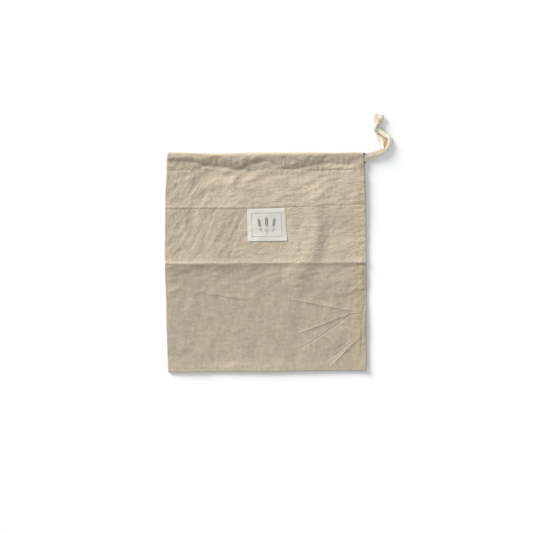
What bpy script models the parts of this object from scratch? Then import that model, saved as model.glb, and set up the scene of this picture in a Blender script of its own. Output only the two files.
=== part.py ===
"""A linen bread bag, empty and lying on its back, with its cotton drawcord knotted beyond the side seam.

The origin is under the middle of the bag. +X points to the side seam, +Y to the mouth and +Z up.
Every size and place below is in millimetres, and add_mesh() brings the points to metres.
"""
import math
from collections import namedtuple

import bmesh
import bpy
import numpy as np

MM = 0.001

# Cloth
CLOTH = 1.1  # one layer of linen with its slubs and air
SEAM_WIDTH = 3.0  # closed cloth at the side seam and at the bottom seam
MOUTH_Y = 165.0
BOTTOM_Y = -164.6

# Hem
HEM_STITCH_Y = 84.1
HEM_STITCH_SLOPE = 0.0095
HEM_RISE = 1.5  # the second layer lifts the front by this much
HEM_STEP_WIDTH = 5.0

# Drawcord of flat cotton tape
TAPE_WIDTH = 12.7
TAPE_THICK = 0.8
TAPE_TOP_Y = 162.2
TAPE_DEPTH = 1.8  # middle of the tape under the outer face of the hem
TAPE_REACH = 0.6  # how far the hidden run reaches past the seam
TUNNEL_REACH = 6.0  # how far the cut for the tunnel passes the seam

# Knot
KNOT_CENTRE = (166.7, 205.1, 5.0)
KNOT_RADIUS = 4.3
KNOT_WRAPS = 5
KNOT_RELIEF = 0.09
KNOT_RINGS = 14
KNOT_SEGMENTS = 20

# Label
LABEL_THICK = 1.0
LABEL_GAP = 0.6
LABEL_LIFT = 0.7  # its loose lower edge stands off by this much
LABEL_CELLS = (12, 10)
Corner = namedtuple("Corner", "x y")
LABEL_TOP_LEFT = Corner(-28.1, 81.2)
LABEL_TOP_RIGHT = Corner(28.5, 82.3)
LABEL_BOTTOM_LEFT = Corner(-26.9, 32.0)
LABEL_BOTTOM_RIGHT = Corner(31.4, 33.3)

# Folded and sewn edges. Columns: how far up the bag, the fold's x, the side seam's x.
SideRow = namedtuple("SideRow", "y fold seam")
SIDE_EDGES = (
    SideRow(-164.6, -146.7, 151.0),
    SideRow(-140.0, -147.8, 151.4),
    SideRow(-100.0, -149.2, 151.6),
    SideRow(-57.0, -150.0, 151.2),
    SideRow(-12.0, -151.5, 151.3),
    SideRow(15.0, -151.9, 151.6),
    SideRow(70.0, -151.8, 150.7),
    SideRow(93.0, -151.0, 150.5),
    SideRow(122.0, -149.8, 149.7),
    SideRow(137.0, -149.4, 148.6),
    SideRow(152.0, -149.5, 148.5),
    SideRow(165.0, -148.0, 147.9),
)

# Ends of the bag. Columns: place across, how far the mouth and the bottom stray from straight.
EndRow = namedtuple("EndRow", "x mouth bottom")
END_EDGES = (
    EndRow(-148.0, 0.2, -0.6),
    EndRow(-120.0, -0.4, -0.8),
    EndRow(-98.0, -1.2, -0.4),
    EndRow(-75.0, -1.8, 0.1),
    EndRow(-53.0, -1.0, 0.4),
    EndRow(-30.0, 0.0, 0.3),
    EndRow(14.0, 0.2, 0.0),
    EndRow(59.0, 0.6, 1.1),
    EndRow(104.0, -0.3, 1.9),
    EndRow(134.0, 0.5, 1.8),
    EndRow(148.0, -0.6, 1.9),
)

# The bag from bottom to mouth. Columns: how far up, height of the front face.
LevelRow = namedtuple("LevelRow", "y height")
FRONT_LEVELS = (
    LevelRow(-165.0, 3.5),
    LevelRow(-150.0, 3.9),
    LevelRow(-60.0, 4.0),
    LevelRow(60.0, 4.1),
    LevelRow(80.0, 4.1),
    LevelRow(134.0, 4.2),
    LevelRow(137.0, 3.9),
    LevelRow(141.0, 4.6),
    LevelRow(146.0, 5.5),
    LevelRow(152.0, 6.4),
    LevelRow(158.0, 6.8),
    LevelRow(165.0, 6.4),
)

# How deep each wall is, from its outer face to the space inside. Columns: how far up, depth.
WallRow = namedtuple("WallRow", "y depth")
WALL_DEPTHS = (
    WallRow(-170.0, CLOTH),
    WallRow(83.0, CLOTH),
    WallRow(86.5, 2.0 * CLOTH),
    WallRow(137.0, 2.0 * CLOTH),
    WallRow(145.0, 2.9),
    WallRow(148.8, 3.6),
    WallRow(162.8, 3.6),
    WallRow(165.0, 2.4),
    WallRow(175.0, 2.4),
)

# The drawcord's tunnel. Columns: how far up, depth of its outer and of its inner side.
TunnelRow = namedtuple("TunnelRow", "y outer inner")
TUNNEL_ROWS = (
    TunnelRow(138.6, 1.1, 1.4),
    TunnelRow(145.0, 1.0, 1.8),
    TunnelRow(148.8, 1.0, 2.6),
    TunnelRow(155.9, 1.0, 2.6),
    TunnelRow(162.8, 1.0, 2.6),
)

# Creases of the front. Columns: name, height (a trough is negative), half-width, points along it.
Crease = namedtuple("Crease", "name height width path")
CREASES = (
    Crease("trough beside the label", -0.9, 9.0, ((88, 90), (87, 32), (81, 14), (77, 2))),
    Crease("swell beside the trough", 0.6, 9.0, ((70, 88), (71, 30), (66, 8))),
    Crease("trough below the pressed fold", -0.6, 12.0, ((77, -2), (51, -16), (37, -50), (36, -124))),
    Crease("upper fan crease", 0.9, 4.0, ((45, -56), (78, -62), (104, -66), (118, -69), (147, -72))),
    Crease("middle fan crease", 1.2, 4.0, ((45, -107), (73, -96), (104, -85), (120, -80), (142, -77))),
    Crease("fan trough", -0.9, 4.0, ((56, -122), (88, -101), (108, -88), (121, -83))),
    Crease("lower fan swell", 0.7, 8.0, ((62, -136), (92, -114), (113, -96), (128, -84))),
    Crease("corner crease", 1.1, 5.0, ((104, -152), (116, -136), (129, -124), (142, -112))),
    Crease("left crease", 0.8, 5.0, ((-95, -46), (-76, -47), (-58, -51), (-27, -55), (-8, -57))),
    Crease("short left crease", 0.5, 5.0, ((-74, -36), (-50, -34), (-30, -31))),
    Crease("seam allowance", 0.5, 4.0, ((145, -160), (145, -60), (145, 60), (143, 130))),
    Crease("casing crease", 0.8, 5.0, ((57, 139), (90, 147), (126, 149))),
    Crease("casing hollow", -0.8, 7.0, ((-62, 147), (-35, 146), (-4, 147))),
)

# The fold that the bag was pressed with runs right across it.
PRESSED_FOLD_Y = -0.6
PRESSED_FOLD_HEIGHT = 1.4
PRESSED_FOLD_ABOVE = 5.0
PRESSED_FOLD_BELOW = 8.0

# Soft unevenness. Columns: height, waves per millimetre across and up, phase in turns.
Swell = namedtuple("Swell", "height across up phase")
SWELLS = (
    Swell(0.20, 0.0110, 0.0040, 0.10),
    Swell(0.16, -0.0060, 0.0130, 0.45),
    Swell(0.13, 0.0190, -0.0090, 0.70),
    Swell(0.10, 0.0160, 0.0210, 0.25),
)

# Rows and columns of the cloth's mesh. Columns: start, end, number of cells.
Band = namedtuple("Band", "start end cells")
FRONT_COLUMNS = (Band(0.0, 0.61, 16), Band(0.61, 1.0, 20))
FRONT_ROWS = (
    Band(-163.0, -45.0, 20),
    Band(-45.0, -13.0, 4),
    Band(-13.0, PRESSED_FOLD_Y, 3),
    Band(PRESSED_FOLD_Y, 12.0, 3),
    Band(12.0, 78.0, 6),
    Band(78.0, 91.0, 4),
    Band(91.0, 133.0, 4),
    Band(133.0, 161.6, 7),
)
INSIDE_COLUMNS = (Band(0.0, 0.61, 10), Band(0.61, 1.0, 11))
INSIDE_ROWS = (
    Band(-161.6, -45.0, 13),
    Band(-45.0, -13.0, 3),
    Band(-13.0, PRESSED_FOLD_Y, 2),
    Band(PRESSED_FOLD_Y, 12.0, 2),
    Band(12.0, 83.0, 5),
    Band(83.0, 86.5, 2),
    Band(86.5, 91.0, 1),
    Band(91.0, 137.0, 5),
    Band(137.0, 145.0, 1),
    Band(145.0, 148.8, 1),
    Band(148.8, 162.8, 2),
    Band(162.8, 165.0, 1),
    Band(165.0, 170.0, 1),
)
FOLD_TURNS = 6  # facets of the tunnel where it goes round the fold
RIM_LEVELS = (0.7, 0.3)  # shares of the bag's height where its rounded edge stands upright

# Free runs of the tape. Columns: middle of the tape, roll, and how far each half folds down, in degrees.
TapeRow = namedtuple("TapeRow", "x y z roll fold")
TAPE_STEP = 2.6
FRONT_TAPE = (
    TapeRow(149.7, 156.3, 5.1, 0, 0),
    TapeRow(153.5, 156.6, 6.4, 2, 20),
    TapeRow(158.5, 157.4, 7.3, 4, 36),
    TapeRow(164.0, 158.9, 7.5, 8, 38),
    TapeRow(170.0, 161.4, 7.5, 18, 32),
    TapeRow(175.8, 164.8, 7.9, 38, 20),
    TapeRow(180.4, 168.8, 7.4, 55, 8),
    TapeRow(184.0, 174.6, 6.8, 62, 0),
    TapeRow(185.6, 181.0, 6.5, 60, 0),
    TapeRow(183.6, 186.8, 6.8, 52, 2),
    TapeRow(178.9, 191.2, 7.4, 40, 8),
    TapeRow(174.0, 194.4, 8.3, 28, 16),
    TapeRow(170.2, 197.0, 9.3, 14, 32),
    TapeRow(168.4, 200.0, 9.6, 2, 50),
)
BACK_TAPE = (
    TapeRow(149.7, 156.3, 1.8, 0, 0),
    TapeRow(153.5, 156.6, 3.9, 2, 20),
    TapeRow(158.5, 157.4, 5.0, 4, 36),
    TapeRow(164.0, 158.9, 5.3, 8, 38),
    TapeRow(169.6, 161.2, 5.4, 18, 32),
    TapeRow(174.2, 164.2, 5.2, 28, 20),
    TapeRow(176.2, 169.2, 4.5, 24, 14),
    TapeRow(175.9, 175.0, 4.2, 26, 0),
    TapeRow(174.4, 181.4, 4.1, 26, 0),
    TapeRow(172.0, 188.0, 4.0, 20, 12),
    TapeRow(169.2, 194.2, 5.0, 8, 34),
    TapeRow(167.4, 199.7, 5.8, 0, 52),
)
FIRST_TAIL = (
    TapeRow(166.9, 206.4, 8.6, 0, 60),
    TapeRow(167.2, 210.4, 8.6, -4, 54),
    TapeRow(168.8, 216.0, 7.3, -8, 40),
    TapeRow(169.6, 222.0, 5.6, -10, 26),
)
SECOND_TAIL = (
    TapeRow(167.4, 206.4, 6.3, 0, 60),
    TapeRow(169.2, 210.6, 6.2, 4, 52),
    TapeRow(171.4, 216.0, 5.0, 6, 36),
    TapeRow(172.6, 221.4, 3.8, 6, 22),
)

# Colours
LINEN = (0.55, 0.47, 0.34)
LABEL_WHITE = (0.74, 0.72, 0.66)
COTTON = (0.84, 0.78, 0.64)


def clamp01(value):
    return np.clip(value, 0.0, 1.0)


def ease(value):
    """0 to 1 with no corner at either end."""
    share = clamp01(value)
    return share * share * (3.0 - 2.0 * share)


def from_table(rows, key, column, at):
    """The column's value at a place along the table's key column."""
    keys = [getattr(row, key) for row in rows]
    return np.interp(at, keys, [getattr(row, column) for row in rows])


def lines(bands):
    """The mesh lines of a table of bands."""
    found = [bands[0].start]
    for band in bands:
        found.extend(np.linspace(band.start, band.end, band.cells + 1)[1:])
    return np.array(found)


def end_shift(x, level):
    """How far cloth near the mouth or the bottom is off its level, as those edges aren't straight."""
    near_mouth = clamp01((level - HEM_STITCH_Y) / (MOUTH_Y - HEM_STITCH_Y))
    near_bottom = clamp01((-HEM_STITCH_Y - level) / (-HEM_STITCH_Y - BOTTOM_Y))
    mouth = from_table(END_EDGES, "x", "mouth", x)
    bottom = from_table(END_EDGES, "x", "bottom", x)
    return mouth * near_mouth + bottom * near_bottom


def across(share, level, fold_inset, seam_inset):
    """x at a share of the way from the fold to the seam, both drawn in by an inset."""
    left = from_table(SIDE_EDGES, "y", "fold", level) + fold_inset
    right = from_table(SIDE_EDGES, "y", "seam", level) - seam_inset
    return left + (right - left) * share


def crease_height(x, y, crease):
    """One crease's share of the height: a soft ridge or trough that dies away at both ends."""
    nearest = np.full(np.shape(x), np.inf)
    along = np.zeros(np.shape(x))
    steps = len(crease.path) - 1
    for index in range(steps):
        x0, y0 = crease.path[index]
        x1, y1 = crease.path[index + 1]
        run_x, run_y = x1 - x0, y1 - y0
        share = clamp01(((x - x0) * run_x + (y - y0) * run_y) / (run_x**2 + run_y**2))
        distance = np.hypot(x - x0 - share * run_x, y - y0 - share * run_y)
        closer = distance < nearest
        nearest = np.where(closer, distance, nearest)
        along = np.where(closer, (index + share) / steps, along)
    fade = ease(4.0 * along + 0.2) * ease(4.0 * (1.0 - along) + 0.2)
    return crease.height * fade * np.exp(-((nearest / crease.width) ** 2))


def pressed_fold(y):
    """The sharp crest of the pressed fold, steeper on its upper side."""
    above = np.exp(-np.maximum(y - PRESSED_FOLD_Y, 0.0) / PRESSED_FOLD_ABOVE)
    below = np.exp(-np.maximum(PRESSED_FOLD_Y - y, 0.0) / PRESSED_FOLD_BELOW)
    return PRESSED_FOLD_HEIGHT * above * below


def front_height(x, level):
    """Height of the bag's front face over what it lies on."""
    y = level + end_shift(x, level)
    height = from_table(FRONT_LEVELS, "y", "height", level)
    stitch = HEM_STITCH_Y + HEM_STITCH_SLOPE * x
    height = height + HEM_RISE * ease((y - stitch) / HEM_STEP_WIDTH + 0.5)
    height = height + pressed_fold(y)
    for crease in CREASES:
        height = height + crease_height(x, y, crease)
    for swell in SWELLS:
        turn = swell.across * x + swell.up * y + swell.phase
        height = height + swell.height * np.sin(2.0 * math.pi * turn)
    return height


def edge_radius(level):
    """Half the bag's height, which rounds its folded and sewn edges."""
    return 0.5 * (from_table(FRONT_LEVELS, "y", "height", level) + HEM_RISE * (level > HEM_STITCH_Y))


def material(name, colour, roughness):
    made = bpy.data.materials.new(name)
    made.use_nodes = True
    shader = made.node_tree.nodes["Principled BSDF"]
    shader.inputs["Base Color"].default_value = (*colour, 1.0)
    shader.inputs["Roughness"].default_value = roughness
    shader.inputs["Metallic"].default_value = 0.0
    return made


def add_mesh(name, points, faces, surface=None):
    """A mesh object from points in millimetres, its faces turned outward."""
    mesh = bpy.data.meshes.new(name)
    mesh.from_pydata([tuple(MM * float(c) for c in point) for point in points], [], faces)
    shape = bmesh.new()
    shape.from_mesh(mesh)
    bmesh.ops.recalc_face_normals(shape, faces=shape.faces)
    shape.to_mesh(mesh)
    shape.free()
    mesh.shade_smooth()
    mesh.set_sharp_from_angle(angle=math.radians(40.0))
    if surface:
        mesh.materials.append(surface)
    made = bpy.data.objects.new(name, mesh)
    bpy.context.scene.collection.objects.link(made)
    return made


def grid_faces(rows, columns, start=0):
    """Faces of a grid whose points run row by row from the start index."""
    faces = []
    for row in range(rows - 1):
        for column in range(columns - 1):
            corner = start + row * columns + column
            faces.append((corner, corner + 1, corner + columns + 1, corner + columns))
    return faces


def border(rows, columns):
    """Indices round a grid's edge, with the outward direction at each."""
    loop = [(0, column) for column in range(columns)]
    loop += [(row, columns - 1) for row in range(1, rows)]
    loop += [(rows - 1, column) for column in range(columns - 2, -1, -1)]
    loop += [(row, 0) for row in range(rows - 2, 0, -1)]
    found = []
    for row, column in loop:
        out_x = (column == columns - 1) - (column == 0)
        out_y = (row == rows - 1) - (row == 0)
        scale = math.sqrt(0.5) if out_x and out_y else 1.0
        found.append((row * columns + column, out_x * scale, out_y * scale))
    return found


def ring_faces(first, second):
    """Faces between two closed loops of the same number of points."""
    count = len(first)
    return [
        (first[i], first[(i + 1) % count], second[(i + 1) % count], second[i]) for i in range(count)
    ]


def bag_outside():
    """The bag without its hollows: an uneven front, a flat back and rounded edges."""
    levels, shares = lines(FRONT_ROWS), lines(FRONT_COLUMNS)
    points = []
    for level in levels:
        inset = edge_radius(level)
        x = across(shares, level, inset, inset)
        z = front_height(x, level)
        points.extend(zip(x, level + end_shift(x, level), z))
    faces = grid_faces(len(levels), len(shares))
    loop = border(len(levels), len(shares))
    rings = [[index for index, _, _ in loop]]
    for share in (*RIM_LEVELS, 0.0):
        ring = []
        for index, out_x, out_y in loop:
            x, y, z = points[index]
            level = levels[index // len(shares)]
            reach = edge_radius(level) if share else 0.0
            reach_y = abs((MOUTH_Y if out_y > 0 else BOTTOM_Y) - level) if share else 0.0
            ring.append(len(points))
            points.append((x + out_x * reach, y + out_y * reach_y, z * share))
        faces.extend(ring_faces(rings[-1], ring))
        rings.append(ring)
    faces.append(rings[-1])
    return points, faces


def bag_inside():
    """The flat space between the back and the front, open at the mouth."""
    levels, shares = lines(INSIDE_ROWS), lines(INSIDE_COLUMNS)
    top, bottom = [], []
    for level in levels:
        depth = from_table(WALL_DEPTHS, "y", "depth", level)
        x = across(shares, level, depth, SEAM_WIDTH)
        y = level + end_shift(x, level)
        top.extend(zip(x, y, front_height(x, level) - depth))
        bottom.extend(zip(x, y, np.full(x.shape, depth)))
    faces = grid_faces(len(levels), len(shares))
    faces += [face[::-1] for face in grid_faces(len(levels), len(shares), len(top))]
    loop = [index for index, _, _ in border(len(levels), len(shares))]
    faces += ring_faces(loop, [index + len(top) for index in loop])
    return top + bottom, faces


def round_the_fold(rows, depth_of, reach):
    """Sections of a flat thing that runs from the seam through the front, round the fold and back.

    depth_of(row) is its depth under the bag's outer face, and reach is how far it passes the seam.
    """
    shares = lines(INSIDE_COLUMNS)
    sections = []
    for back in (False, True):
        front_run = []
        for share in (*shares[::-1], None):
            section = []
            for row in rows:
                radius = edge_radius(row.y)
                if share == shares[-1]:
                    x = across(1.0, row.y, 0.0, -reach)
                elif share is None:
                    x = across(0.0, row.y, radius, 0.0)
                else:
                    x = across(share, row.y, radius + 1.0, SEAM_WIDTH)
                z = depth_of(row) if back else front_height(x, row.y) - depth_of(row)
                section.append((x, row.y + end_shift(x, row.y), z))
            if share != shares[0]:
                front_run.append(section)
        if back:
            sections += front_run[::-1]
            continue
        sections += front_run
        for turn in range(1, FOLD_TURNS):
            angle = math.pi * turn / FOLD_TURNS
            section = []
            for (x, y, z), row in zip(front_run[-1], rows):
                middle = 0.5 * (z + depth_of(row))
                swing = z - middle
                reach_x = min(edge_radius(row.y) - depth_of(row), swing)
                section.append((x - reach_x * math.sin(angle), y, middle + swing * math.cos(angle)))
            sections.append(section)
    return sections


def slab(outer, inner):
    """A closed slab between two matching stacks of sections."""
    columns = len(outer[0])
    points = [point for section in outer + inner for point in section]
    size = len(outer) * columns
    faces = grid_faces(len(outer), columns)
    faces += [face[::-1] for face in grid_faces(len(inner), columns, size)]
    loop = [index for index, _, _ in border(len(outer), columns)]
    faces += ring_faces(loop, [index + size for index in loop])
    return points, faces


def tunnel():
    """The space that the hem's second line of stitching closes off for the drawcord."""
    outer = round_the_fold(TUNNEL_ROWS, lambda row: row.outer, TUNNEL_REACH)
    inner = round_the_fold(TUNNEL_ROWS, lambda row: row.inner, TUNNEL_REACH)
    return slab(outer, inner)


def tape_in_hem():
    """The drawcord's hidden run, flat in its tunnel."""
    half = 0.5 * TAPE_THICK
    rows = [
        TunnelRow(TAPE_TOP_Y - TAPE_WIDTH * share, TAPE_DEPTH - half, TAPE_DEPTH + half)
        for share in (1.0, 0.5, 0.0)
    ]
    outer = round_the_fold(rows, lambda row: row.outer, TAPE_REACH)
    inner = round_the_fold(rows, lambda row: row.inner, TAPE_REACH)
    return slab(outer, inner)


def smooth_rows(rows, step):
    """Points at about equal steps along a smooth curve through a tape's rows."""
    table = np.array(rows, float)
    ends = np.vstack([2.0 * table[0] - table[1], table, 2.0 * table[-1] - table[-2]])
    found = []
    for index in range(len(rows) - 1):
        before, start, end, after = ends[index : index + 4]
        pieces = max(1, round(float(np.linalg.norm((end - start)[:3])) / step))
        for t in np.arange(pieces) / pieces:
            bend = 2.0 * before - 5.0 * start + 4.0 * end - after
            swing = 3.0 * start - before - 3.0 * end + after
            found.append(start + 0.5 * t * ((end - before) + t * (bend + t * swing)))
    found.append(table[-1])
    return np.array(found)


def ribbon(rows, step=TAPE_STEP):
    """A run of tape: each section is two halves that fold down from its middle line."""
    route = smooth_rows(rows, step)
    middle = route[:, :3]
    along = np.gradient(middle, axis=0)
    along /= np.linalg.norm(along, axis=1)[:, None]
    left = np.cross((0.0, 0.0, 1.0), along)
    left /= np.linalg.norm(left, axis=1)[:, None]
    up = np.cross(along, left)
    roll, fold = np.radians(route[:, 3])[:, None], np.radians(route[:, 4])[:, None]
    side = left * np.cos(roll) + up * np.sin(roll)
    face = up * np.cos(roll) - left * np.sin(roll)
    half = 0.5 * TAPE_WIDTH
    thick = 0.5 * TAPE_THICK
    left_edge = middle + half * (side * np.cos(fold) - face * np.sin(fold))
    right_edge = middle - half * (side * np.cos(fold) + face * np.sin(fold))
    left_face = face * np.cos(fold) + side * np.sin(fold)
    right_face = face * np.cos(fold) - side * np.sin(fold)
    ridge = thick / np.cos(fold)
    corners = (
        left_edge + thick * left_face,
        middle + ridge * face,
        right_edge + thick * right_face,
        right_edge - thick * right_face,
        middle - ridge * face,
        left_edge - thick * left_face,
    )
    points = [point for section in zip(*corners) for point in section]
    count = len(corners)
    faces = []
    for section in range(len(route) - 1):
        first = [section * count + index for index in range(count)]
        faces += ring_faces(first, [index + count for index in first])
    last = (len(route) - 1) * count
    faces += [(0, 1, 4, 5), (1, 2, 3, 4)]
    faces += [(last, last + 1, last + 4, last + 5), (last + 1, last + 2, last + 3, last + 4)]
    return points, faces


def knot_core():
    """The overhand knot's ball, with the turns of the tape as soft ridges."""
    centre = np.array(KNOT_CENTRE)
    points = [centre + (0.0, 0.0, KNOT_RADIUS)]
    for ring in range(1, KNOT_RINGS):
        tilt = math.pi * ring / KNOT_RINGS
        for segment in range(KNOT_SEGMENTS):
            turn = 2.0 * math.pi * segment / KNOT_SEGMENTS
            wrap = math.cos(KNOT_WRAPS * (tilt + 0.35 * math.sin(turn)))
            radius = KNOT_RADIUS * (1.0 + KNOT_RELIEF * wrap * math.sin(tilt))
            flat = radius * math.sin(tilt)
            step = (flat * math.cos(turn), flat * math.sin(turn), radius * math.cos(tilt))
            points.append(centre + step)
    points.append(centre - (0.0, 0.0, KNOT_RADIUS))
    faces = []
    for segment in range(KNOT_SEGMENTS):
        beside = (segment + 1) % KNOT_SEGMENTS
        faces.append((0, 1 + segment, 1 + beside))
        foot = 1 + (KNOT_RINGS - 2) * KNOT_SEGMENTS
        faces.append((len(points) - 1, foot + beside, foot + segment))
        for ring in range(KNOT_RINGS - 2):
            start = 1 + ring * KNOT_SEGMENTS
            below = start + KNOT_SEGMENTS
            faces.append((start + segment, below + segment, below + beside, start + beside))
    return points, faces


def label_sheet():
    """The label, which lies on the front's own folds and lifts a little at its loose edge."""
    columns, rows = (cells + 1 for cells in LABEL_CELLS)
    under = []
    for row in range(rows):
        up = row / (rows - 1)
        for column in range(columns):
            right = column / (columns - 1)
            low = np.array(LABEL_BOTTOM_LEFT) * (1 - right) + np.array(LABEL_BOTTOM_RIGHT) * right
            high = np.array(LABEL_TOP_LEFT) * (1 - right) + np.array(LABEL_TOP_RIGHT) * right
            x, y = low * (1 - up) + high * up
            lift = LABEL_GAP + LABEL_LIFT * (1.0 - float(ease(4.0 * up)))
            under.append((x, y, float(front_height(x, y)) + lift))
    over = [(x, y, z + LABEL_THICK) for x, y, z in under]
    return slab(
        [over[row * columns : (row + 1) * columns] for row in range(rows)],
        [under[row * columns : (row + 1) * columns] for row in range(rows)],
    )


def cut(target, name, shape):
    """Takes a hollow out of an object."""
    cutter = add_mesh(name, *shape)
    cutter.hide_render = True
    cutter.display_type = "WIRE"
    boolean = target.modifiers.new(name, "BOOLEAN")
    boolean.operation = "DIFFERENCE"
    boolean.solver = "EXACT"
    boolean.object = cutter


def join(target, name, shape):
    """Grows an object by another closed shape."""
    extra = add_mesh(name, *shape)
    extra.hide_render = True
    extra.display_type = "WIRE"
    boolean = target.modifiers.new(name, "BOOLEAN")
    boolean.operation = "UNION"
    boolean.solver = "EXACT"
    boolean.object = extra


def build():
    for old in list(bpy.data.objects):
        bpy.data.objects.remove(old, do_unlink=True)
    linen = material("linen", LINEN, 0.95)
    label_cloth = material("label", LABEL_WHITE, 0.85)
    cotton = material("cotton_tape", COTTON, 0.9)

    bag = add_mesh("bag_body", *bag_outside(), linen)
    cut(bag, "cut_inside", bag_inside())
    cut(bag, "cut_tunnel", tunnel())
    add_mesh("label", *label_sheet(), label_cloth)
    add_mesh("tape_in_hem", *tape_in_hem(), cotton)
    add_mesh("tape_front", *ribbon(FRONT_TAPE), cotton)
    add_mesh("tape_back", *ribbon(BACK_TAPE), cotton)
    knot = add_mesh("tape_knot", *knot_core(), cotton)
    join(knot, "join_first_tail", ribbon(FIRST_TAIL))
    join(knot, "join_second_tail", ribbon(SECOND_TAIL))


build()
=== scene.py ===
"""Looks of the linen bread bag: its cloth, stitching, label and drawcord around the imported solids.

Sizes in the tables are millimetres in the solids' frame: +X to the side seam, +Y to the mouth, +Z up.
The first line of a table names its columns.
"""

import math
from collections import namedtuple

import bmesh
import bpy
import numpy as np
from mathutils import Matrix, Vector


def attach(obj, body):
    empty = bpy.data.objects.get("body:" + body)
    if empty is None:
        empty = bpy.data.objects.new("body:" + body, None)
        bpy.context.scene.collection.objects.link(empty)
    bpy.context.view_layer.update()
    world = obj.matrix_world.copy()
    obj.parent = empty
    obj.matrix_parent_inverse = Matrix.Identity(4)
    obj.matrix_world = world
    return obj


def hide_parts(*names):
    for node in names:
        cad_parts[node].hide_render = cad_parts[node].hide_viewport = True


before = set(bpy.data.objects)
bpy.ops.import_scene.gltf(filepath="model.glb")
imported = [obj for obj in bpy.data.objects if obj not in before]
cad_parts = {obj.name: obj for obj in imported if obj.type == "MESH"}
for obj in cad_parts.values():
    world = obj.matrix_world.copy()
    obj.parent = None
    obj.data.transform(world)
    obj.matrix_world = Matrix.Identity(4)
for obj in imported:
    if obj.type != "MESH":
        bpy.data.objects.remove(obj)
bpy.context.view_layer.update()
MM = 0.001

# ---------------------------------------------------------------- small functions

NOISE_CELLS = 61


def clamp01(value):
    return np.clip(value, 0.0, 1.0)


def ease(value):
    """0 to 1 with no corner at either end."""
    share = clamp01(value)
    return share * share * (3.0 - 2.0 * share)


def ramps(at, *pairs):
    """The product of smooth ramps, each from 0 at its first place to 1 at its second."""
    return math.prod(ease((at - start) / (full - start)) for start, full in pairs)


def bell(value):
    """1 in the middle and smoothly down to nothing on both sides."""
    return np.exp(-(value**2))


def table(columns, *rows):
    row_type = namedtuple("Row", columns)
    return [row_type(*row) for row in rows]


def from_table(rows, column, at):
    """A column's value between the rows, which lie in the order of their first column."""
    return np.interp(at, [row[0] for row in rows], [getattr(row, column) for row in rows])


def columns_at(rows, columns, at):
    return [from_table(rows, column, at) for column in columns.split()]


def bands(rows):
    """Places from rows of start, end and number of cells, each row going on from the one before."""
    found = [rows[0][0]]
    for start, end, cells in rows:
        found.extend(np.linspace(start, end, cells + 1)[1:])
    return np.array(found)


def noise(u, v, seed):
    """Smooth noise from -1 to 1 with cells one unit wide."""
    grid = np.random.default_rng(seed).uniform(-1.0, 1.0, (NOISE_CELLS, NOISE_CELLS))
    u, v = np.broadcast_arrays(np.asarray(u, float), np.asarray(v, float))
    left, low = np.floor(u).astype(int), np.floor(v).astype(int)
    right_share, up_share = (part**3 * (part * (6.0 * part - 15.0) + 10.0) for part in (u - left, v - low))

    def corner(i, j):
        return grid[(left + i) % NOISE_CELLS, (low + j) % NOISE_CELLS]

    bottom = corner(0, 0) * (1.0 - right_share) + corner(1, 0) * right_share
    top = corner(0, 1) * (1.0 - right_share) + corner(1, 1) * right_share
    return bottom * (1.0 - up_share) + top * up_share


def add_object(name, data):
    made = bpy.data.objects.new(name, data)
    bpy.context.scene.collection.objects.link(made)
    return made


# ---------------------------------------------------------------- camera

FRAME_WIDTH = 0.7995  # metres across the picture at the bag
CAMERA_CENTRE = (0.0011, -0.0065)
CAMERA_HEIGHT = 3.0
BAG_TOP = 0.005
SENSOR = 36.0
FAR_CLIP = 50.0


def add_camera():
    data = bpy.data.cameras.new("camera")
    data.sensor_width = SENSOR
    data.lens = SENSOR * CAMERA_HEIGHT / FRAME_WIDTH
    data.clip_end = FAR_CLIP
    camera = add_object("camera", data)
    camera.location = (*CAMERA_CENTRE, CAMERA_HEIGHT + BAG_TOP)
    bpy.context.scene.camera = camera


add_camera()

# ---------------------------------------------------------------- the bag's sizes, as in the solids

MOUTH_Y = 165.0
BOTTOM_Y = -164.6
HEM_STITCH_Y = 84.1
HEM_RISE = 1.5
HEM_STEP = 0.32  # the sharp part of that rise
CASING_STITCH_Y = 137.0
CASING_TOP = 7.6
LIP_RADIUS = 1.5
TAPE_WIDTH = 12.7
TAPE_THICK = 0.8
TAPE_TOP_Y = 162.2
TAPE_DEPTH = 1.8

# The bag's sides: the x of the fold and of the seam.
SIDE_EDGES = table(
    "y fold seam",
    (-164.6, -146.7, 151), (-140, -147.8, 151.4), (-100, -149.2, 151.6), (-57, -150, 151.2),
    (-12, -151.5, 151.3), (15, -151.9, 151.6), (70, -151.8, 150.7), (93, -151, 150.5), (122, -149.8, 149.7),
    (137, -149.4, 148.6), (152, -149.5, 148.5), (165, -148, 147.9),
)
# How far the mouth and the bottom stray from straight.
END_EDGES = table(
    "x mouth bottom",
    (-148, 0.2, -0.6), (-120, -0.4, -0.8), (-98, -1.2, -0.4), (-75, -1.8, 0.1), (-53, -1, 0.4),
    (-30, 0, 0.3), (14, 0.2, 0), (59, 0.6, 1.1), (104, -0.3, 1.9), (134, 0.5, 1.8), (148, -0.6, 1.9),
)
# The front's height over what the bag lies on, up the bag.
FRONT_LEVELS = table(
    "y height",
    (-165, 4.7), (-156, 4.5), (-140, 4), (-60, 4), (60, 4.1), (80, 4.1), (134, 4.2), (137, 3.8), (141, 4.1),
    (146, 4.8), (152, 6), (157, 7.1), (161, 7.5), (165, 6.9),
)
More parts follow.
